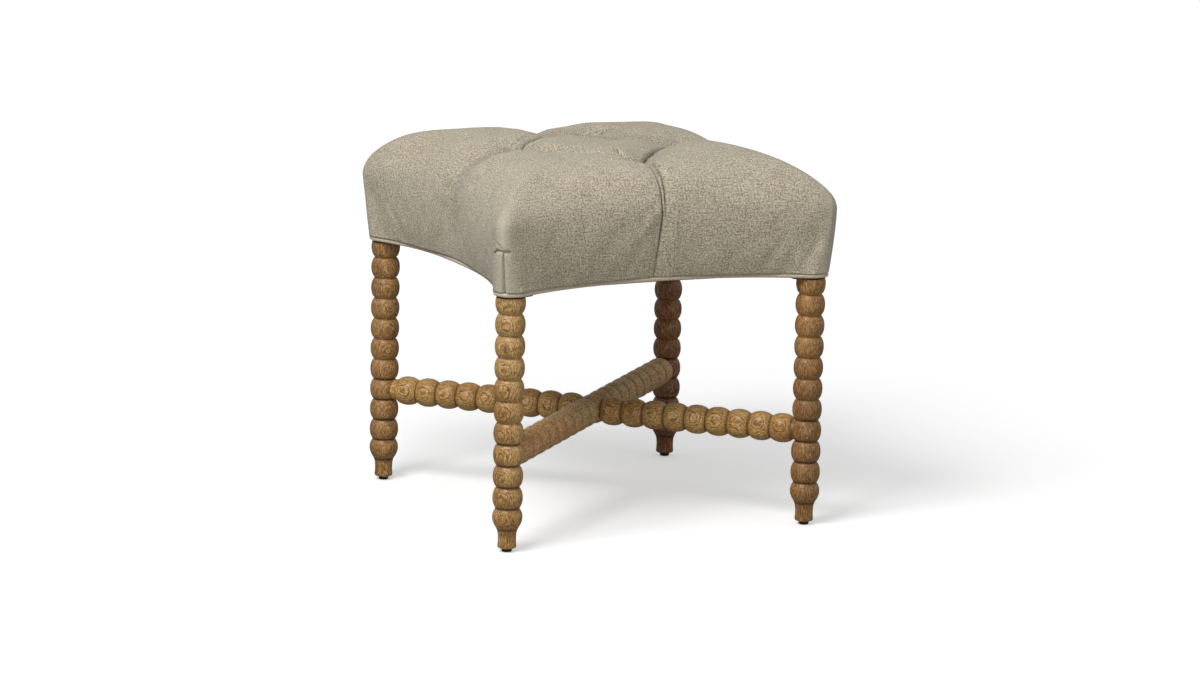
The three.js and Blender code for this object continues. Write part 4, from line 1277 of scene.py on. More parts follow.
@dataclass
class SeatCushion:
    """The tufted linen seat: one closed form that rests on the deck and hangs down over the rails."""

    outline: ScoopedOutline = field(default_factory=ScoopedOutline)
    tufting: Tufting = field(default_factory=Tufting)
    reach: float = 263.0
    ear: float = 20.0
    frame_reach: float = 242.2
    frame_ear: float = 25.5
    cover_ear: float = 19.5
    frame_roundness: float = 50.0
    shoulder_roundness: float = 16.0
    shoulder_height: float = 451.7
    crest: float = 526.3
    crown_power: float = 6.4
    crown_root: float = 1.8
    corner_easing: float = 2.2
    foot_height: float = 361.95
    foot_offset: float = 9.8
    lining_offset: float = 0.6
    rest_height: float = 439.6
    arch: float = 2.5
    foot_draw: float = 1.6
    lobes: tuple[Lobe, ...] = (
        Lobe((20.0, 20.0), -8.0, 120.0),
        Lobe((-85.0, -70.0), -7.0, 95.0),
        Lobe((-130.0, 112.0), 3.5, 110.0),
        Lobe((-45.0, 118.0), -7.0, 55.0),
        Lobe((-210.0, 210.0), 6.0, 95.0),
        Lobe((70.0, 170.0), 3.0, 80.0),
        Lobe((95.0, 105.0), -5.0, 70.0),
        Lobe((212.0, 80.0), 7.0, 85.0),
        Lobe((140.0, -120.0), 5.0, 110.0),
        Lobe((195.0, -195.0), 3.0, 90.0),
    )
    side_rise: float = 4.0
    side_place: tuple[float, float] = (122.0, 292.0)
    side_width: float = 105.0
    half_columns: int = 132
    gather: float = 0.3
    gather_width: float = 20.0
    gather_power: float = 1.7
    wrinkle_width: float = 18.0
    rows: int = 48
    # Power by which the painted highlight gathers at the corners.
    highlight_power: float = 22.0
    settling: Settling = field(default_factory=Settling)

    def build(self, linen: bpy.types.Material) -> bpy.types.Object:
        """Args:
            linen: The cover's material.

        Returns:
            The seat.
        """
        points, faces, cloth, painted_shade, wear_and_highlight = self.form(settled=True)
        seat = mesh_piece("tufted_seat", points, faces, [linen])
        # Stores the painted shade and the painted highlight for the linen.
        for name, values in (("painted_shade", painted_shade), ("wear_and_highlight", wear_and_highlight)):
            seat.data.attributes.new(name, "FLOAT", "POINT").data.foreach_set("value", values.astype(np.float32))
        layer = seat.data.uv_layers.new(name="cloth")
        layer.data.foreach_set("uv", (cloth * MM).astype(np.float32).ravel())
        dress(seat, "linen", "seat_cover", "seat_pad", "edge_wadding")
        return seat

    def _columns(self) -> tuple[np.ndarray, np.ndarray]:
        """Share of the way out and arc length at each column, closest in the middle and at the edges."""
        fine = 1 - (1 - np.linspace(0, 1, 4000)) ** 3
        out = fine * (self.reach - self.outline.scoop / 2)
        steps = np.hypot(np.diff(out), np.diff(self._rise(fine)))
        length = np.concatenate([[0.0], np.cumsum(steps)])
        even = np.linspace(-1, 1, 2 * self.half_columns + 1)
        place = even - self.gather / (2 * math.pi) * np.sin(2 * math.pi * even)
        arc = place * length[-1]
        return np.sign(place) * np.interp(np.abs(arc), length, fine), arc

    def lift(self, along: np.ndarray) -> np.ndarray:
        """How far the lower edge rises between the corners, by the share of the way along a side."""
        return self.arch * (1 - along**2) ** 2

    def _rise(self, out: np.ndarray, cornered: np.ndarray | float = 0.0) -> np.ndarray:
        """Height above the shoulder by the share of the way out, lower where it nears a corner."""
        inside = 1 - np.clip(out, 0, 1) ** (self.crown_power - self.corner_easing * cornered)
        return (self.crest - self.shoulder_height) * inside ** (1 / self.crown_root)

    def form(self, settled: bool = False) -> tuple[np.ndarray, list, np.ndarray, np.ndarray, np.ndarray]:
        """Makes the seat's form.

        Args:
            settled: Whether the cloth is blown out by simulation before its creases are sewn in.

        Returns:
            Its points in millimetres, its faces, each face corner's place on the cloth, the painted shade of each point
            in its creases, tufts and hollows, and the painted highlight along its corners.
        """
        share, arc = self._columns()
        count = len(share)
        u, v = np.meshgrid(share, share, indexing="ij")
        a, b, out = self.outline.rounded(u, v, self.shoulder_roundness)
        x = a * self.outline.edge(b * self.reach, self.reach, self.ear)
        y = b * self.outline.edge(a * self.reach, self.reach, self.ear)
        top = np.stack([x, y, self.shoulder_height + self._rise(out, (u * v) ** 2)], axis=-1).reshape(-1, 3)
        ring_i, ring_j = self._ring(count)
        ring = ring_i * count + ring_j
        around = len(ring)
        loop_u, loop_v = share[ring_i], share[ring_j]
        shoulder = top[ring][:, :2]
        frame = self.outline.places(loop_u, loop_v, self.frame_reach, self.frame_ear, self.frame_roundness)
        hem = self.outline.places(loop_u, loop_v, self.frame_reach, self.cover_ear, self.frame_roundness)
        foot = self.outline.offset(hem, self.foot_offset)
        along = np.minimum(np.abs(loop_u), np.abs(loop_v))
        foot_level = self.foot_height + self.lift(along)
        outward = np.array([(0.0, -1.0), (1.0, 0.0), (0.0, 1.0), (-1.0, 0.0)])[np.arange(around) // (count - 1)]
        sides, unrolled = [], []
        for level in np.linspace(0, 1, self.rows + 1)[1:]:
            place = shoulder + (foot - shoulder) * level**self.foot_draw
            drop = (self.shoulder_height - foot_level) * level
            sides.append(np.column_stack([place, self.shoulder_height - drop]))
            unrolled.append(shoulder + outward * drop[:, None])
        full = np.concatenate([top, *sides])
        plan = np.concatenate([top[:, :2], *unrolled])
        facing = np.concatenate([np.zeros((len(top), 2)), *[outward] * self.rows])
        lining = self.outline.offset(frame, self.lining_offset)
        linings = [np.column_stack([lining, height]) for height in (foot_level, np.full(around, self.rest_height))]
        faces, cloth = self._faces(count, ring, ring_i, ring_j, arc)
        cornered = np.abs(u * v).ravel()
        cornered = np.concatenate([cornered, *[cornered[ring]] * self.rows])
        if settled:
            full = self._settled(full, plan, cornered, count, self._normals(full, faces))
        full, painted_shade = self._sewn(full, plan, facing, faces)
        # Painted highlight along the corners, strongest where they meet.
        wear_and_highlight = cornered**self.highlight_power
        points = np.concatenate([full, *linings])
        spare = (0, len(points) - len(painted_shade))
        return points, faces, cloth, np.pad(painted_shade, spare), np.pad(wear_and_highlight, spare)

    def _settled(
        self, full: np.ndarray, plan: np.ndarray, cornered: np.ndarray, count: int, normals: np.ndarray
    ) -> np.ndarray:
        """Blows the cloth out between its tufts and folds by simulation.

        Args:
            full: The full form's points.
            plan: Their places on the unrolled plan.
            cornered: How near each lies to a corner, from 0 to 1.
            count: Points along one side of the top.
            normals: Outward unit normals of the points.

        Returns:
            The moved points.
        """
        stride = self.settling.stride
        held = np.zeros(len(full))
        for crease in self.tufting.creases():
            if crease.width > self.wrinkle_width:
                gap, depth, _ = self._nearest(plan, crease)
                held = np.maximum(held, self._strength(depth, crease) * valley(gap, self.settling.hold_width, 0.0))
        for place in self.tufting.tufts().values():
            away = np.linalg.norm(plan - np.array(place), axis=1)
            held = np.maximum(held, valley(away, 2 * self.settling.hold_width, 0.0))
        held = np.maximum(held, cornered**self.settling.corner_power)
        around = 4 * (count - 1)
        held[-around:] = 1.0
        top_at = np.arange(count * count).reshape(count, count)
        side_at = count * count + np.arange(self.rows * around).reshape(self.rows, around)
        ring_i, ring_j = self._ring(count)
        side_at = np.vstack([top_at[ring_i, ring_j], side_at])
        coarse_top, coarse_side = top_at[::stride, ::stride], side_at[::stride, ::stride]
        moved = self.settling.run(full, held, normals, coarse_top, coarse_side)
        side_steps = np.arange(0, around + 1, stride)
        across = self._spread(moved[coarse_top], np.arange(0, count, stride), count)
        down = np.concatenate([moved[coarse_side], moved[coarse_side[:, :1]]], axis=1)
        down = self._spread(down, np.arange(0, self.rows + 1, stride), self.rows + 1, side_steps, around)
        result = full.copy()
        result[top_at.ravel()] += across.reshape(-1, 3)
        result[side_at[1:].ravel()] += down[1:].reshape(-1, 3)
        return result

    @staticmethod
    def _spread(
        coarse: np.ndarray, rows_at: np.ndarray, rows: int, columns_at: np.ndarray | None = None, columns: int = 0
    ) -> np.ndarray:
        """Spreads moves known at every few rows and columns over all of them."""
        columns_at = rows_at if columns_at is None else columns_at
        columns = columns or rows
        tall = np.stack(
            [[np.interp(np.arange(rows), rows_at, line) for line in coarse[:, :, axis].T] for axis in range(3)], axis=2
        )
        return np.stack(
            [[np.interp(np.arange(columns), columns_at, line) for line in tall[:, :, axis].T] for axis in range(3)],
            axis=2,
        )

    def _puff(self, plan: np.ndarray) -> np.ndarray:
        """How far the stuffing stands out from the even form."""
        rise = np.zeros(len(plan))
        across, out = self.side_place
        panels = [(s * across, t * out) for s in (-1, 1) for t in (-1, 1)]
        panels += [(y, x) for x, y in panels]
        for lobe in (*self.lobes, *(Lobe(place, self.side_rise, self.side_width) for place in panels)):
            away = np.linalg.norm(plan - np.array(lobe.place), axis=1)
            rise += lobe.rise * valley(away, lobe.width, 0.0)
        return rise

    @staticmethod
    def _ring(count: int) -> tuple[np.ndarray, np.ndarray]:
        """Grid places of the shoulder, anticlockwise from the front left corner."""
        run = np.arange(count - 1)
        far = np.full(count - 1, count - 1)
        near = np.zeros(count - 1, int)
        return np.concatenate([run, far, far - run, near]), np.concatenate([near, run, far, far - run])

    def _faces(
        self, count: int, ring: np.ndarray, ring_i: np.ndarray, ring_j: np.ndarray, arc: np.ndarray
    ) -> tuple[list, np.ndarray]:
        """Faces of the top, the sides and the lining, with the cloth map of every face corner."""
        cell = np.arange((count - 1) ** 2)
        i, j = cell // (count - 1), cell % (count - 1)
        quads = np.stack([i * count + j, (i + 1) * count + j, (i + 1) * count + j + 1, i * count + j + 1], axis=1)
        map_u = np.stack([arc[i], arc[i + 1], arc[i + 1], arc[i]], axis=1)
        map_v = np.stack([arc[j], arc[j], arc[j + 1], arc[j + 1]], axis=1)
        faces = [quads]
        maps = [np.stack([map_u, map_v], axis=2).reshape(-1, 2)]
        around = len(ring)
        here, ahead = np.arange(around), (np.arange(around) + 1) % around
        base = count * count
        step = (self.shoulder_height - self.foot_height) / self.rows
        rings = [ring, *(base + row * around + here for row in range(self.rows + 2))]
        outward = np.array([(0, -1), (1, 0), (0, 1), (-1, 0)])[here // (count - 1)]
        place = np.stack([arc[ring_i], arc[ring_j]], axis=1)
        place_ahead = np.stack([arc[ring_i[ahead]], arc[ring_j[ahead]]], axis=1)
        for row in range(self.rows + 2):
            upper, lower = rings[row], rings[row + 1]
            faces.append(np.stack([upper, lower, lower[ahead], upper[ahead]], axis=1))
            high, low = outward * row * step, outward * (row + 1) * step
            corners = [place + high, place + low, place_ahead + low, place_ahead + high]
            maps.append(np.stack(corners, axis=1).reshape(-1, 2))
        listed = np.concatenate(faces).tolist()
        listed.append(rings[-1][::-1].tolist())
        maps.append(place[::-1])
        return listed, np.concatenate(maps)

    def _sewn(
        self, points: np.ndarray, plan: np.ndarray, facing: np.ndarray, faces: list
    ) -> tuple[np.ndarray, np.ndarray]:
        """Draws the tufts and creases into the full form.

        Args:
            points: The full form's points.
            plan: Their places on the unrolled plan.
            facing: The outward direction of each side point, and zero on the top.
            faces: The seat's faces.

        Returns:
            The drawn-in points, and the painted shade of each point in its creases, tufts and hollows.
        """
        normals = self._normals(points, faces)
        creases = self.tufting.creases()
        moved = plan.copy()
        for crease in (crease for crease in creases if crease.width > self.wrinkle_width):
            gap, depth, toward = self._nearest(moved, crease)
            share = np.clip(gap / self.gather_width, 0, 1)
            pull = (gap - self.gather_width * share**self.gather_power) * self._strength(depth, crease)
            moved += toward * np.where(share < 1, pull, 0)[:, None]
        shift = moved - plan
        outward = np.sum(shift * facing, axis=1)
        sliding = points.copy()
        sliding[:, :2] += shift - outward[:, None] * facing
        sliding[:, 2] -= outward
        fields = []
        slits, wrinkles, painted_shade = (np.zeros(len(points)) for _ in range(3))
        for crease in creases:
            gap, depth, _ = self._nearest(moved, crease)
            dip = depth * valley(gap, crease.width, crease.crisp)
            if crease.width < self.wrinkle_width:
                wrinkles += dip
            else:
                fields.append(dip)
            closed = self._strength(depth, crease) * valley(gap, crease.slit_width, 0.2)
            slits = np.maximum(slits, crease.slit * closed)
            # Painted shade along each crease's slit.
            painted_shade = np.maximum(painted_shade, closed * min(1.0, crease.slit / self.tufting.slit_shade))
        for place in self.tufting.tufts().values():
            away = np.linalg.norm(moved - np.array(place), axis=1)
            fields.append(self.tufting.depth * valley(away, self.tufting.width, 0.7))
            # Painted shade round each tuft.
            painted_shade = np.maximum(painted_shade, valley(away, self.tufting.shade_width, 0.0))
        power = 4.0
        hollow = sum(part**power for part in fields) ** (1 / power)
        # Painted shade in the deep valleys of the form.
        painted_shade = np.maximum(painted_shade, self.tufting.hollow_shade * np.clip(hollow / 22, 0, 1))
        depth = hollow + slits + wrinkles
        return sliding - normals * (depth - self._puff(plan))[:, None], painted_shade

    @staticmethod
    def _strength(depth: np.ndarray, crease: Crease) -> np.ndarray:
        """How lively a crease is at a depth, so that its slit and gathers fade out at its ends."""
        return np.clip(depth / (0.3 * max(crease.depths)), 0, 1)

    @staticmethod
    def _nearest(plan: np.ndarray, crease: Crease) -> tuple[np.ndarray, np.ndarray, np.ndarray]:
        """Distance to a crease, its depth at the nearest place, and the direction towards it."""
        best = np.full(len(plan), np.inf)
        depth = np.zeros(len(plan))
        toward = np.zeros_like(plan)
        places = np.array(crease.places, float)
        for start, end, first, last in zip(places[:-1], places[1:], crease.depths[:-1], crease.depths[1:], strict=True):
            run = end - start
            share = np.clip((plan - start) @ run / (run @ run), 0, 1)
            reach = start + share[:, None] * run - plan
            gap = np.linalg.norm(reach, axis=1)
            closer = gap < best
            best = np.where(closer, gap, best)
            eased = share**2 * (3 - 2 * share)
            depth = np.where(closer, first + (last - first) * eased, depth)
            toward = np.where(closer[:, None], reach / np.maximum(gap, 1e-6)[:, None], toward)
        return best, depth, toward

    @staticmethod
    def _normals(points: np.ndarray, faces: list) -> np.ndarray:
        """Outward unit normals of points that quads share."""
        quads = np.array([face for face in faces if len(face) == 4])
        quads = quads[(quads < len(points)).all(axis=1)]
        corners = points[quads]
        crossed = np.cross(corners[:, 2] - corners[:, 0], corners[:, 3] - corners[:, 1])
        normals = np.zeros_like(points)
        for corner in range(4):
            np.add.at(normals, quads[:, corner], crossed)
        return normals / np.maximum(np.linalg.norm(normals, axis=1), 1e-9)[:, None]


@dataclass
class Welt:
    """The linen piping sewn along the seat's lower edge."""

    cushion: SeatCushion
    radius: float = 3.0
    offset: float = 6.3
    height: float = 358.65
    points_per_side: int = 160
    sides: int = 16

    def build(self, cloth: bpy.types.Material) -> None:
        """Makes and dresses the piping."""
        path = loop_piece("welt_path", self._path())
        piping = path.modifiers.new("piping", "NODES")
        piping.node_group = self._tree()
        set_inputs(piping, {"Radius": self.radius * MM, "Sides": self.sides, "Finish": cloth})
        welt = settled_copy("seat_piping", path)
        welt.data.polygons.foreach_set("use_smooth", [True] * len(welt.data.polygons))
        dress(welt, "welt_linen", "welt")

    def _path(self) -> np.ndarray:
        """The piping's middle line, anticlockwise."""
        run = np.linspace(-1, 1, self.points_per_side + 1)[:-1]
        one = np.ones_like(run)
        u = np.concatenate([run, one, -run, -one])
        v = np.concatenate([-one, run, one, -run])
        seat = self.cushion
        frame = seat.outline.places(u, v, seat.frame_reach, seat.cover_ear, seat.frame_roundness)
        along = np.minimum(np.abs(u), np.abs(v))
        return np.column_stack([seat.outline.offset(frame, self.offset), self.height + seat.lift(along)])

    @staticmethod
    def _tree() -> bpy.types.NodeTree:
        """The tree that sweeps the piping along its path and maps its cloth."""
        tree = bpy.data.node_groups.new("piping", "GeometryNodeTree")
        interface = tree.interface
        interface.new_socket("Geometry", in_out="INPUT", socket_type="NodeSocketGeometry")
        interface.new_socket("Radius", in_out="INPUT", socket_type="NodeSocketFloat")
        interface.new_socket("Sides", in_out="INPUT", socket_type="NodeSocketInt")
        interface.new_socket("Finish", in_out="INPUT", socket_type="NodeSocketMaterial")
        interface.new_socket("Geometry", in_out="OUTPUT", socket_type="NodeSocketGeometry")
        w = Wiring(tree)
        given = {socket.name: socket for socket in w.node("NodeGroupInput").outputs}
        curve = w.node("GeometryNodeMeshToCurve", {"Mesh": given["Geometry"]})
        upright = w.node("GeometryNodeSetCurveNormal", {"Curve": curve.outputs[0]}, mode="Z_UP")
        length = w.node("GeometryNodeSplineParameter").outputs["Length"]
        kept = w.node("GeometryNodeStoreNamedAttribute", data_type="FLOAT", domain="POINT")
        w.feed(kept.inputs["Geometry"], upright.outputs[0])
        w.feed(kept.inputs["Name"], "run")
        w.feed(kept.inputs["Value"], length)
        circle = w.node("GeometryNodeCurvePrimitiveCircle", {"Resolution": given["Sides"], "Radius": given["Radius"]})
        turn = w.node("GeometryNodeSplineParameter").outputs["Length"]
        ring = w.node("GeometryNodeStoreNamedAttribute", data_type="FLOAT", domain="POINT")
        w.feed(ring.inputs["Geometry"], circle.outputs["Curve"])
        w.feed(ring.inputs["Name"], "turn")
        w.feed(ring.inputs["Value"], turn)
        swept = w.node("GeometryNodeCurveToMesh", {"Curve": kept.outputs[0], "Profile Curve": ring.outputs[0]})
        run = w.node("GeometryNodeInputNamedAttribute", {"Name": "run"}, data_type="FLOAT").outputs[0]
        around = w.node("GeometryNodeInputNamedAttribute", {"Name": "turn"}, data_type="FLOAT").outputs[0]
        bias = w.joined(w.math("ADD", run, around), w.math("SUBTRACT", run, around), 0.0)
        mapped = w.node("GeometryNodeStoreNamedAttribute", data_type="FLOAT_VECTOR", domain="POINT")
        w.feed(mapped.inputs["Geometry"], swept.outputs[0])
        w.feed(mapped.inputs["Name"], "cloth")
        w.feed(mapped.inputs["Value"], w.vector("MULTIPLY", bias, (math.sqrt(0.5), math.sqrt(0.5), 0.0)))
        real = w.node("GeometryNodeRealizeInstances", {0: mapped.outputs[0]})
        dressed = w.node("GeometryNodeSetMaterial", {"Geometry": real.outputs[0], "Material": given["Finish"]})
        w.feed(w.node("NodeGroupOutput").inputs[0], dressed.outputs[0])
        return tree


@dataclass
class DustCover:
    """The cambric stapled under the rails and cut away round the posts."""

    outline: ScoopedOutline = field(default_factory=ScoopedOutline)
    reach: float = 238.2
    ear: float = 21.5
    roundness: float = 50.0
    post_face: float = 197.9
    top: float = 355.9
    thickness: float = 0.5
    sag: float = 3.0
    pucker: float = 0.7
    loops: int = 30
    points_per_side: int = 96
    staple_inset: float = 7.0
    staples_per_side: int = 9
    staple_span: float = 10.0
    staple_wire: float = 0.7
    staple_width: float = 1.2

    def build(self, cambric: bpy.types.Material, steel: bpy.types.Material) -> None:
        """Args:
            cambric: The cloth's material.
            steel: The staples' material.
        """
        edge = self._edge()
        shares = np.linspace(0, 1, self.loops + 1)[1:]
        rings = [self._ring(edge, share) for share in shares]
        count = len(edge)
        middle = np.array([[0.0, 0.0, self.top - self.sag]])
        points = np.concatenate([*rings, middle])
        here = np.arange(count)
        ahead = (here + 1) % count
        faces = [np.stack([r * count + here, r * count + ahead, (r + 1) * count + ahead, (r + 1) * count + here], axis=1)
                 for r in range(self.loops - 1)]
        listed = np.concatenate(faces)[:, ::-1].tolist()
        listed += [(len(points) - 1, int(b), int(a)) for a, b in zip(here, ahead, strict=True)]
        cover = mesh_piece("cambric_cover", points, listed, [cambric])
        wall = cover.modifiers.new("cloth thickness", "SOLIDIFY")
        wall.thickness = self.thickness * MM
        wall.offset = 1.0
        cover = settled_copy("cambric_cover", cover)
        dress(cover, "cambric", "dust_cover")
        staples = self._staples(steel)

    def _edge(self) -> np.ndarray:
        """The cloth's edge, anticlockwise, with a square notch at each post."""
        far = self.post_face
        made = []
        for side in (Side.RIGHT, Side.BACK, Side.LEFT, Side.FRONT):
            along = np.linspace(-far, far, self.points_per_side)
            out = self.outline.edge(along, self.reach, self.ear)
            inward = np.linspace(out[-1], far, 8)[1:]
            lead = np.linspace(far, out[0], 8)[1:-1]
            line = np.concatenate(
                [
                    np.column_stack([lead, np.full(len(lead), -far)]),
                    np.column_stack([out, along]),
                    np.column_stack([inward, np.full(len(inward), far)]),
                ]
            )
            turn = np.array([[math.cos(side.angle), math.sin(side.angle)], [-math.sin(side.angle), math.cos(side.angle)]])
            made.append(line @ turn)
        return np.concatenate(made)

    def _ring(self, edge: np.ndarray, share: float) -> np.ndarray:
        """One loop of the cloth, drawn tight at its staples and slack between them."""
        bay = 2 * self.post_face / self.staples_per_side
        along = np.minimum(np.abs(edge[:, 0]), np.abs(edge[:, 1]))
        slack = self.pucker * np.abs(np.cos(math.pi * along / bay)) * share**6 * (1 - share) * 8
        drop = self.sag * (1 - share**2) + slack
        return np.column_stack([edge * share, self.top - drop])

    def _staples(self, steel: bpy.types.Material) -> bpy.types.Object:
        """The staples, one piece, set along each rail by Geometry Nodes."""
        places = []
        for side in Side:
            along = np.linspace(-1, 1, self.staples_per_side) * (self.post_face - 22.0)
            out = self.outline.edge(along, self.reach, self.ear) - self.staple_inset
            turn = np.array([[math.cos(side.angle), math.sin(side.angle)], [-math.sin(side.angle), math.cos(side.angle)]])
            places.append(np.column_stack([out, along]) @ turn)
        flat = np.concatenate(places)
        points = np.column_stack([flat, np.full(len(flat), self.top - self.thickness)])
        seats = mesh_piece("staple_places", points, [], [])
        turns = np.repeat([side.angle for side in Side], self.staples_per_side).astype(np.float32)
        seats.data.attributes.new("heading", "FLOAT", "POINT").data.foreach_set("value", turns)
        setting = seats.modifiers.new("staples", "NODES")
        setting.node_group = self._staple_tree()
        sizes = {"Span": self.staple_span * MM, "Wire": self.staple_wire * MM, "Width": self.staple_width * MM}
        set_inputs(setting, {**sizes, "Finish": steel})
        staples = settled_copy("cover_staples", seats)
        return dress(crisp(staples, 30), "steel")

    @staticmethod
    def _staple_tree() -> bpy.types.NodeTree:
        """The tree that sets a staple with two short legs at every place."""
        tree = bpy.data.node_groups.new("staples", "GeometryNodeTree")
        interface = tree.interface
        interface.new_socket("Geometry", in_out="INPUT", socket_type="NodeSocketGeometry")
        for label in ("Span", "Wire", "Width"):
            interface.new_socket(label, in_out="INPUT", socket_type="NodeSocketFloat")
        interface.new_socket("Finish", in_out="INPUT", socket_type="NodeSocketMaterial")
        interface.new_socket("Geometry", in_out="OUTPUT", socket_type="NodeSocketGeometry")
        w = Wiring(tree)
        given = {socket.name: socket for socket in w.node("NodeGroupInput").outputs}
        span, wire, width = given["Span"], given["Wire"], given["Width"]
        path = w.node("GeometryNodeCurvePrimitiveLine", {"Start": (0, 0, 0), "End": w.joined(0.0, 1.0, 0.0)})
        crown_line = w.node("GeometryNodeResampleCurve", {"Curve": path.outputs[0], "Count": 9})
        x, y, z = w.parts(w.node("GeometryNodeInputPosition").outputs[0])
        from_middle = w.math("SUBTRACT", w.math("MULTIPLY", y, 2.0), 1.0)
        bowed = w.math("MULTIPLY", w.math("POWER", w.math("ABSOLUTE", from_middle), 6.0), wire)
        shaped = w.joined(0.0, w.math("MULTIPLY", from_middle, w.math("MULTIPLY", span, 0.5)), bowed)
        bent = w.node("GeometryNodeSetPosition", {"Geometry": crown_line.outputs[0], "Position": shaped})
        flat = w.node("GeometryNodeCurvePrimitiveQuadrilateral", {"Width": wire, "Height": width})
        rounded = w.node("GeometryNodeFilletCurve", {"Curve": flat.outputs[0], "Radius": w.math("MULTIPLY", wire, 0.3)})
        crown = w.node("GeometryNodeCurveToMesh", {"Curve": bent.outputs[0], "Profile Curve": rounded.outputs[0]})
        crown.inputs["Fill Caps"].default_value = True
        heading = w.node("GeometryNodeInputNamedAttribute", {"Name": "heading"}, data_type="FLOAT").outputs[0]
        turn = w.joined(0.0, 0.0, heading)
        spots = w.node("GeometryNodeMeshToPoints", {"Mesh": given["Geometry"]})
        feeds = {"Points": spots.outputs[0], "Instance": crown.outputs[0], "Rotation": turn}
        real = w.node("GeometryNodeRealizeInstances", {0: w.node("GeometryNodeInstanceOnPoints", feeds).outputs[0]})
        dressed = w.node("GeometryNodeSetMaterial", {"Geometry": real.outputs[0], "Material": given["Finish"]})
        w.feed(w.node("NodeGroupOutput").inputs[0], dressed.outputs[0])
        return tree


@dataclass
class HiddenFrame:
    """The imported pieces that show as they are: posts, rails, deck and hardware."""

    nodes: dict[str, bpy.types.Object]

    def dress(self, finishes: dict[str, bpy.types.Material]) -> None:
        """Gives each piece the finish whose key starts its name.

        Args:
            finishes: Materials by the start of a node's name.
        """
        for name, node in self.nodes.items():
            for start, material in finishes.items():
                if name.startswith(start):
                    node.data.materials.clear()
                    node.data.materials.append(material)


@dataclass
class View:
    """The photograph's camera."""

    azimuth: float = -24.836
    elevation: float = 11.281
    roll: float = 1.184
    distance: float = 5800.0
    target: tuple[float, float, float] = (11.18, 0.0, 238.64)
    lens: float = 121.893
    sensor: float = 36.0

    def build(self) -> None:
        """Makes the scene's camera."""
        turn, rise, tilt = (math.radians(angle) for angle in (self.azimuth, self.elevation, self.roll))
        back = Vector((math.sin(turn) * math.cos(rise), -math.cos(turn) * math.cos(rise), math.sin(rise)))
        right = (-back).cross(Vector((0, 0, 1))).normalized()
        up = right.cross(-back)
        across = right * math.cos(tilt) + up * math.sin(tilt)
        upward = up * math.cos(tilt) - right * math.sin(tilt)
        data = bpy.data.cameras.new("camera")
        data.lens = self.lens
        data.sensor_width = self.sensor
        data.clip_end = 100.0
        camera = bpy.data.objects.new("camera", data)
        bpy.context.scene.collection.objects.link(camera)
        pose = Matrix((across, upward, back)).transposed().to_4x4()
        pose.translation = (Vector(self.target) + back * self.distance) * MM
        camera.matrix_world = pose
        bpy.context.scene.camera = camera


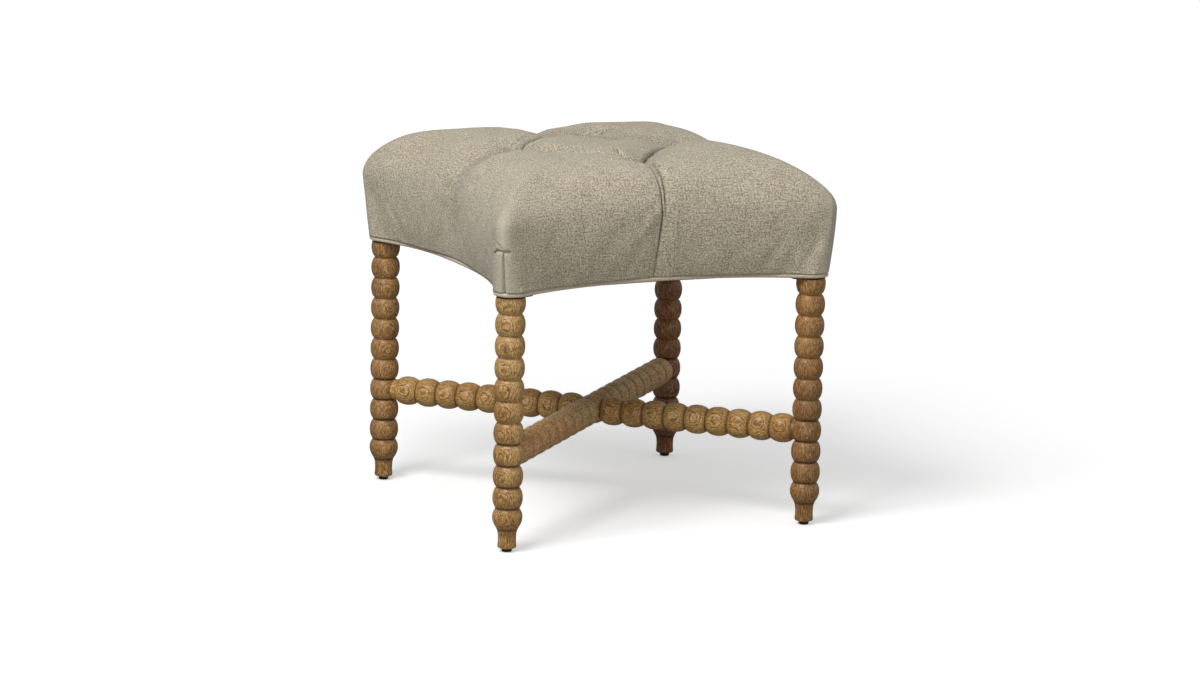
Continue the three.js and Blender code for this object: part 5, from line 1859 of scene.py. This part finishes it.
@dataclass
class Studio:
    """The pale floor, the white surround and the soft lights."""

    floor_reach: float = 30000.0
    ambient: float = 0.35
    key_power: float = 38.5
    fill_power: float = 2.0
    low_power: float = 5.2
    floor_glow: float = 0.72

    def build(self) -> None:
        """Makes the floor, the world and the lights."""
        self._world()
        self._floor()
        self._light("key", -57.0, 50.0, 2500.0, 1000.0, self.key_power)
        self._light("fill", 48.0, 30.0, 2800.0, 1800.0, self.fill_power)
        self._light("low", -8.0, 7.0, 2600.0, 900.0, self.low_power)
        bpy.context.scene.view_settings.view_transform = "Standard"

    def _world(self) -> None:
        """White for the camera and in reflections, and softer as light."""
        world = bpy.data.worlds.new("surround")
        world.use_nodes = True
        world.node_tree.nodes.clear()
        bpy.context.scene.world = world
        w = Wiring(world.node_tree)
        path = w.node("ShaderNodeLightPath").outputs
        seen = w.math("MAXIMUM", path["Is Camera Ray"], path["Is Transmission Ray"])
        level = w.node("ShaderNodeMix", {0: seen, 2: self.ambient, 3: 1.0}).outputs[0]
        sky = w.node("ShaderNodeBackground", {"Color": (1, 1, 1, 1), "Strength": level})
        w.feed(w.node("ShaderNodeOutputWorld").inputs["Surface"], sky.outputs[0])

    def _floor(self) -> None:
        """A wide pale floor that keeps the shadow."""
        material = bpy.data.materials.new("floor")
        material.use_nodes = True
        material.node_tree.nodes.clear()
        w = Wiring(material.node_tree)
        plain = w.node("ShaderNodeBsdfDiffuse", {"Color": (0.9, 0.9, 0.9, 1)})
        bounced = w.node("ShaderNodeBsdfDiffuse", {"Color": (0.34, 0.33, 0.31, 1)})
        place = w.node("ShaderNodeTexCoord").outputs["Object"]
        away = w.node("ShaderNodeVectorMath", {0: place}, operation="LENGTH").outputs["Value"]
        near = w.node("ShaderNodeMapRange", {0: away, 1: 0.5, 2: 2.5, 3: 0.4, 4: self.floor_glow}).outputs[0]
        glow = w.node("ShaderNodeEmission", {"Color": (1, 1, 1, 1), "Strength": near})
        seen = w.node("ShaderNodeLightPath").outputs["Is Camera Ray"]
        lit = w.node("ShaderNodeMixShader", {0: seen})
        both = w.node("ShaderNodeAddShader", {0: plain.outputs[0], 1: glow.outputs[0]})
        w.feed(lit.inputs[1], bounced.outputs[0])
        w.feed(lit.inputs[2], both.outputs[0])
        w.feed(w.node("ShaderNodeOutputMaterial").inputs["Surface"], lit.outputs[0])
        far = self.floor_reach
        corners = np.array([(-far, -far, 0), (far, -far, 0), (far, far, 0), (-far, far, 0)])
        floor = mesh_piece("floor", corners, [(0, 1, 2, 3)], [material])

    @staticmethod
    def _light(name: str, azimuth: float, elevation: float, distance: float, size: float, power: float) -> None:
        """One square soft light aimed at the seat."""
        data = bpy.data.lights.new(name, "AREA")
        data.size = size * MM
        data.energy = power
        turn, rise = math.radians(azimuth), math.radians(elevation)
        back = Vector((math.sin(turn) * math.cos(rise), -math.cos(turn) * math.cos(rise), math.sin(rise)))
        lamp = bpy.data.objects.new(name, data)
        bpy.context.scene.collection.objects.link(lamp)
        pose = back.to_track_quat("Z", "Y").to_matrix().to_4x4()
        pose.translation = (Vector((0, 0, 300)) + back * distance) * MM
        lamp.matrix_world = pose


def main() -> None:
    """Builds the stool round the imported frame."""
    logging.basicConfig(level=logging.INFO, format="%(message)s")
    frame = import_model()
    effects = Effects()
    oaks = {
        Corner.FRONT_LEFT: LimedOak("oak_leg_front_left", pith=(-188.6, -186.4), light=tint(248, 202, 126)),
        Corner.FRONT_RIGHT: LimedOak(
            "oak_leg_front_right", pith=(300.0, -262.0), light=tint(206, 148, 74), middle=tint(166, 112, 50),
            dark=tint(84, 46, 16),
        ),
        Corner.BACK_LEFT: LimedOak(
            "oak_leg_back_left", pith=(-212.0, 306.0), light=tint(216, 160, 88), middle=tint(174, 121, 58),
            dark=tint(84, 46, 16),
        ),
        # The far leg's darker colours are painted shade for its place under the seat.
        Corner.BACK_RIGHT: LimedOak(
            "oak_leg_back_right", pith=(180.0, 262.0), light=tint(170, 102, 46), middle=tint(130, 74, 30),
            dark=tint(70, 32, 14),
        ),
    }
    legs = TurnedLegs()
    tree = BobbinTree()
    nylon = Moulded("black_nylon").material(effects)
    legs.build(tree, {corner: finish.material(effects) for corner, finish in oaks.items()}, nylon)
    upper = LimedOak(
        "oak_stretcher_upper", pith=(60.0, -60.0), turn=(RIGHT_ANGLE, -EIGHTH_TURN, 0.0),
        light=tint(255, 218, 154), middle=tint(255, 192, 120), ringed=0.78, glazed_and_shaded=0.85,
    )
    lower = LimedOak(
        "oak_stretcher_lower", pith=(62.0, 120.6), turn=(-RIGHT_ANGLE, -EIGHTH_TURN, 0.0),
        light=tint(255, 204, 116), middle=tint(220, 156, 76), ringed=0.76, glazed_and_shaded=0.66,
    )
    CrossStretchers(legs).build(tree, upper.material(effects), lower.material(effects))
    cushion = SeatCushion()
    cushion.build(Linen("seat_linen").material(effects))
    Welt(cushion).build(Linen("welt_linen", light=tint(253, 241, 220), dark=tint(204, 190, 164)).material(effects))
    sawn = SawnWood("sawn_wood").material(effects)
    steel = Metal("zinc_steel").material(effects)
    DustCover().build(FeltedCloth("cambric").material(effects), steel)
    HiddenFrame(frame["nodes"]).dress(
        {
            "corner_post": SawnWood("sawn_posts", turn=(0.0, 0.0, 0.0)).material(effects),
            "rail": sawn,
            "stretcher_pin": SawnWood("dowel", turn=(0.0, 0.0, 0.0), shadow_below=0.0).material(effects),
            "seat_deck": SawnWood("plywood", layers=2.4).material(effects),
            "hanger_bolt": steel,
            "bolt_washer": steel,
            "bolt_nut": steel,
            "deck_screw": steel,
            "tuft_toggle": nylon,
            "tuft_tie": Moulded("waxed_twine", base=tint(196, 180, 146), wear_and_highlight=tint(170, 152, 116)).material(effects),
        }
    )
    View().build()
    Studio().build()


if __name__ == "__main__":
    main()
